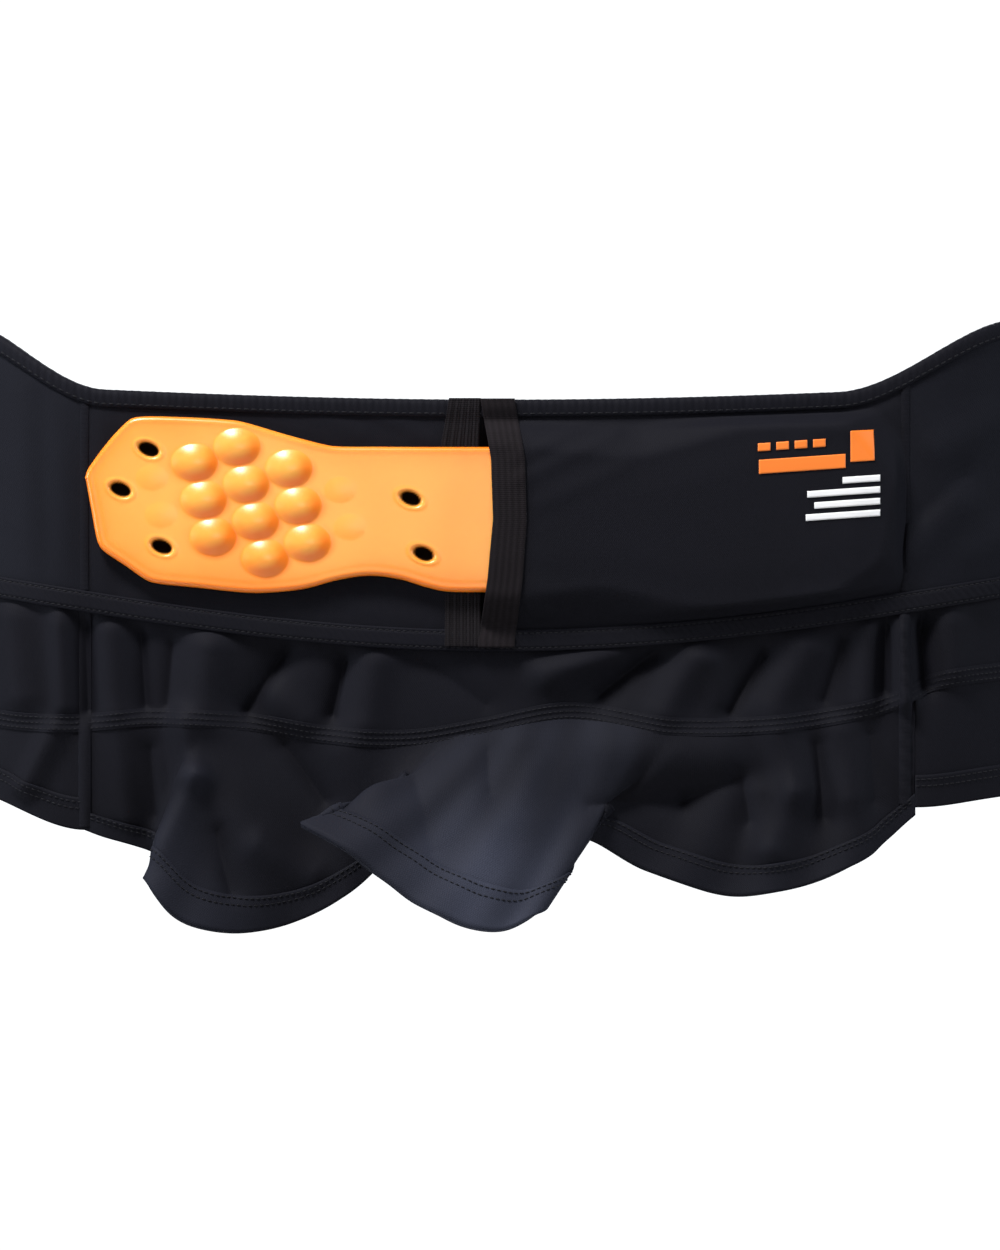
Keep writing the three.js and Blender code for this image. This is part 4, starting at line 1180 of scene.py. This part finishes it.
# The orange deepens towards the bottom, varies at random with the noise, and deepens further where the stored
# 'tone' holds the painted shade at the edge and on the lower right of the domes.
by_height = math_node(pad_tree, "MULTIPLY", math_node(pad_tree, "ADD", up, 0.015), -4)
drift = math_node(pad_tree, "SUBTRACT", noise(pad_tree, 18, 2), 0.45)
factor = math_node(pad_tree, "ADD", by_height, math_node(pad_tree, "MULTIPLY", drift, 0.9))
factor = math_node(pad_tree, "ADD", factor, value_of(pad_tree, "tone"))
tone = mixed(pad_tree, factor, "#FFB04C", "#FF8212", clamp_factor=True)
hole = value_of(pad_tree, "vent")
pad_tree.links.new(mixed(pad_tree, hole, tone, "#100A06"), pad_shader.inputs["Base Color"])
for socket, most in (("Subsurface Weight", 0.2), ("Coat Weight", 0.45), ("Specular IOR Level", 0.45)):
    kept = math_node(pad_tree, "MULTIPLY", math_node(pad_tree, "SUBTRACT", 1.0, hole), most)
    pad_tree.links.new(kept, pad_shader.inputs[socket])
bumped(pad_tree, pad_shader, noise(pad_tree, 1400, 2), 0.15, 0.00004)
pad_mesh.materials.append(PAD)
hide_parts("pad_free_half", "pad_inserted_half")
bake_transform(pad)
print("pad", len(pad_mesh.polygons), "faces")

# %% [markdown]
# ## Size transfer
# A heat transfer on the right pocket: a row of dashes, a solid bar, a size block and four short white
# lines. They are thin films that follow the pocket's front, so they bend with it.

# %% Size transfer
WHITE, _, _ = finish_of("white_print", "#E9E9EA", 0.5)
ORANGE, _, _ = finish_of("orange_print", "#F07A1E", 0.5)


def film(name, x0, x1, z0, z1, material, slope=0.07):
    """A patch of the pocket's front between x0..x1 and z0..z1, rising to the right by slope."""
    across_n, up_n = max(4, int((x1 - x0) * 2)), max(4, int(abs(z1 - z0) * 2))
    a, b = np.meshgrid(np.linspace(x0, x1, across_n), np.linspace(z0, z1, up_n), indexing="ij")
    z = b + slope * (a - 152)
    points = np.stack([a, -(right_front(a, z) + 0.9), z], axis=-1)
    return surface(name, points, material, 0.12)


films = [film(f"dash_{k}", 102.4 + 7.3 * k, 107.4 + 7.3 * k, -14.4, -17.6, ORANGE) for k in range(4)]
films.append(film("bar", 102.8, 137.2, -21, -26.6, ORANGE))
films.append(film("size_block", 139.2, 148.8, -12, -24.4, ORANGE))
for k, (x0, x1) in enumerate(((136, 151), (122, 151), (124.8, 151), (121.4, 151))):
    films.append(film(f"white_line_{k}", x0, x1, -30.2 - 4.6 * k, -32.8 - 4.6 * k, WHITE))
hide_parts("size_transfer")
print("films", len(films))

# %% [markdown]
# ## What is cloth
# Each cloth piece is named with the size it was cut to and what holds it, so that its real area can be
# compared with the model's.

# %% Cloth facts
def cut_of(piece):
    """The surface area of a piece's own sheet in square metres, before it is given thickness."""
    area = np.empty(len(piece.data.polygons))
    piece.data.polygons.foreach_get("area", area)
    return float(area.sum())


CLOTHS = [
    (shell, (0.950, 0.090), None, "stretched", ["top_binding", "waist_seam"], [elastic]),
    (facing, (0.640, 0.084), None, "stretched", ["waistband_shell"], []),
    (left_pocket, (0.158, 0.088), None, "laid", ["waistband_shell"], [tape]),
    (right_pocket, (0.168, 0.094), None, "stretched", ["impact_pad"], [binding, *films]),
    (yoke, (0.950, 0.038), None, "gathered", ["waist_seam"], [yoke_seam]),
    (back_legs, (0.560, 0.062), 0.0285, "gathered", ["yoke"], [back_hem]),
    (legs, (0.660, 0.050), None, "hung", ["yoke"], [leg_hem]),
    (gusset_piece, (0.028, 0.130), None, "hung", ["back_of_legs"], []),
]
for piece, flat, area, held, rests_on, with_pieces in CLOTHS:
    print(f"{piece.name}: {cut_of(piece):.4f} m2 here, {area or flat[0] * flat[1]:.4f} m2 as cut")

# %% [markdown]
# The floor is pale paper. To the camera it glows evenly, as an overexposed studio sweep does; to
# everything else it is plain matt paper, so it throws only a soft bounce onto the cloth.

# %% Floor
floor_mesh = bpy.data.meshes.new("floor")
floor_mesh.from_pydata([(-9, -9, 0), (9, -9, 0), (9, 9, 0), (-9, 9, 0)], [], [(0, 1, 2, 3)])
floor = bpy.data.objects.new("floor", floor_mesh)
floor.location.z = -0.9
PAPER, paper_tree, paper_shader = finish_of("floor_paper", "#E8E8E6", 0.9)
seen = node(paper_tree, "ShaderNodeLightPath").outputs["Is Camera Ray"]
shine = node(paper_tree, "ShaderNodeEmission", inputs={"Color": (1, 1, 1, 1), "Strength": 1.1})
either = node(paper_tree, "ShaderNodeMixShader", links={"Fac": seen})
paper_tree.links.new(paper_shader.outputs[0], either.inputs[1])
paper_tree.links.new(shine.outputs[0], either.inputs[2])
paper_tree.links.new(either.outputs[0], paper_tree.nodes["Material Output"].inputs["Surface"])
floor_mesh.materials.append(PAPER)
scene.collection.objects.link(floor)
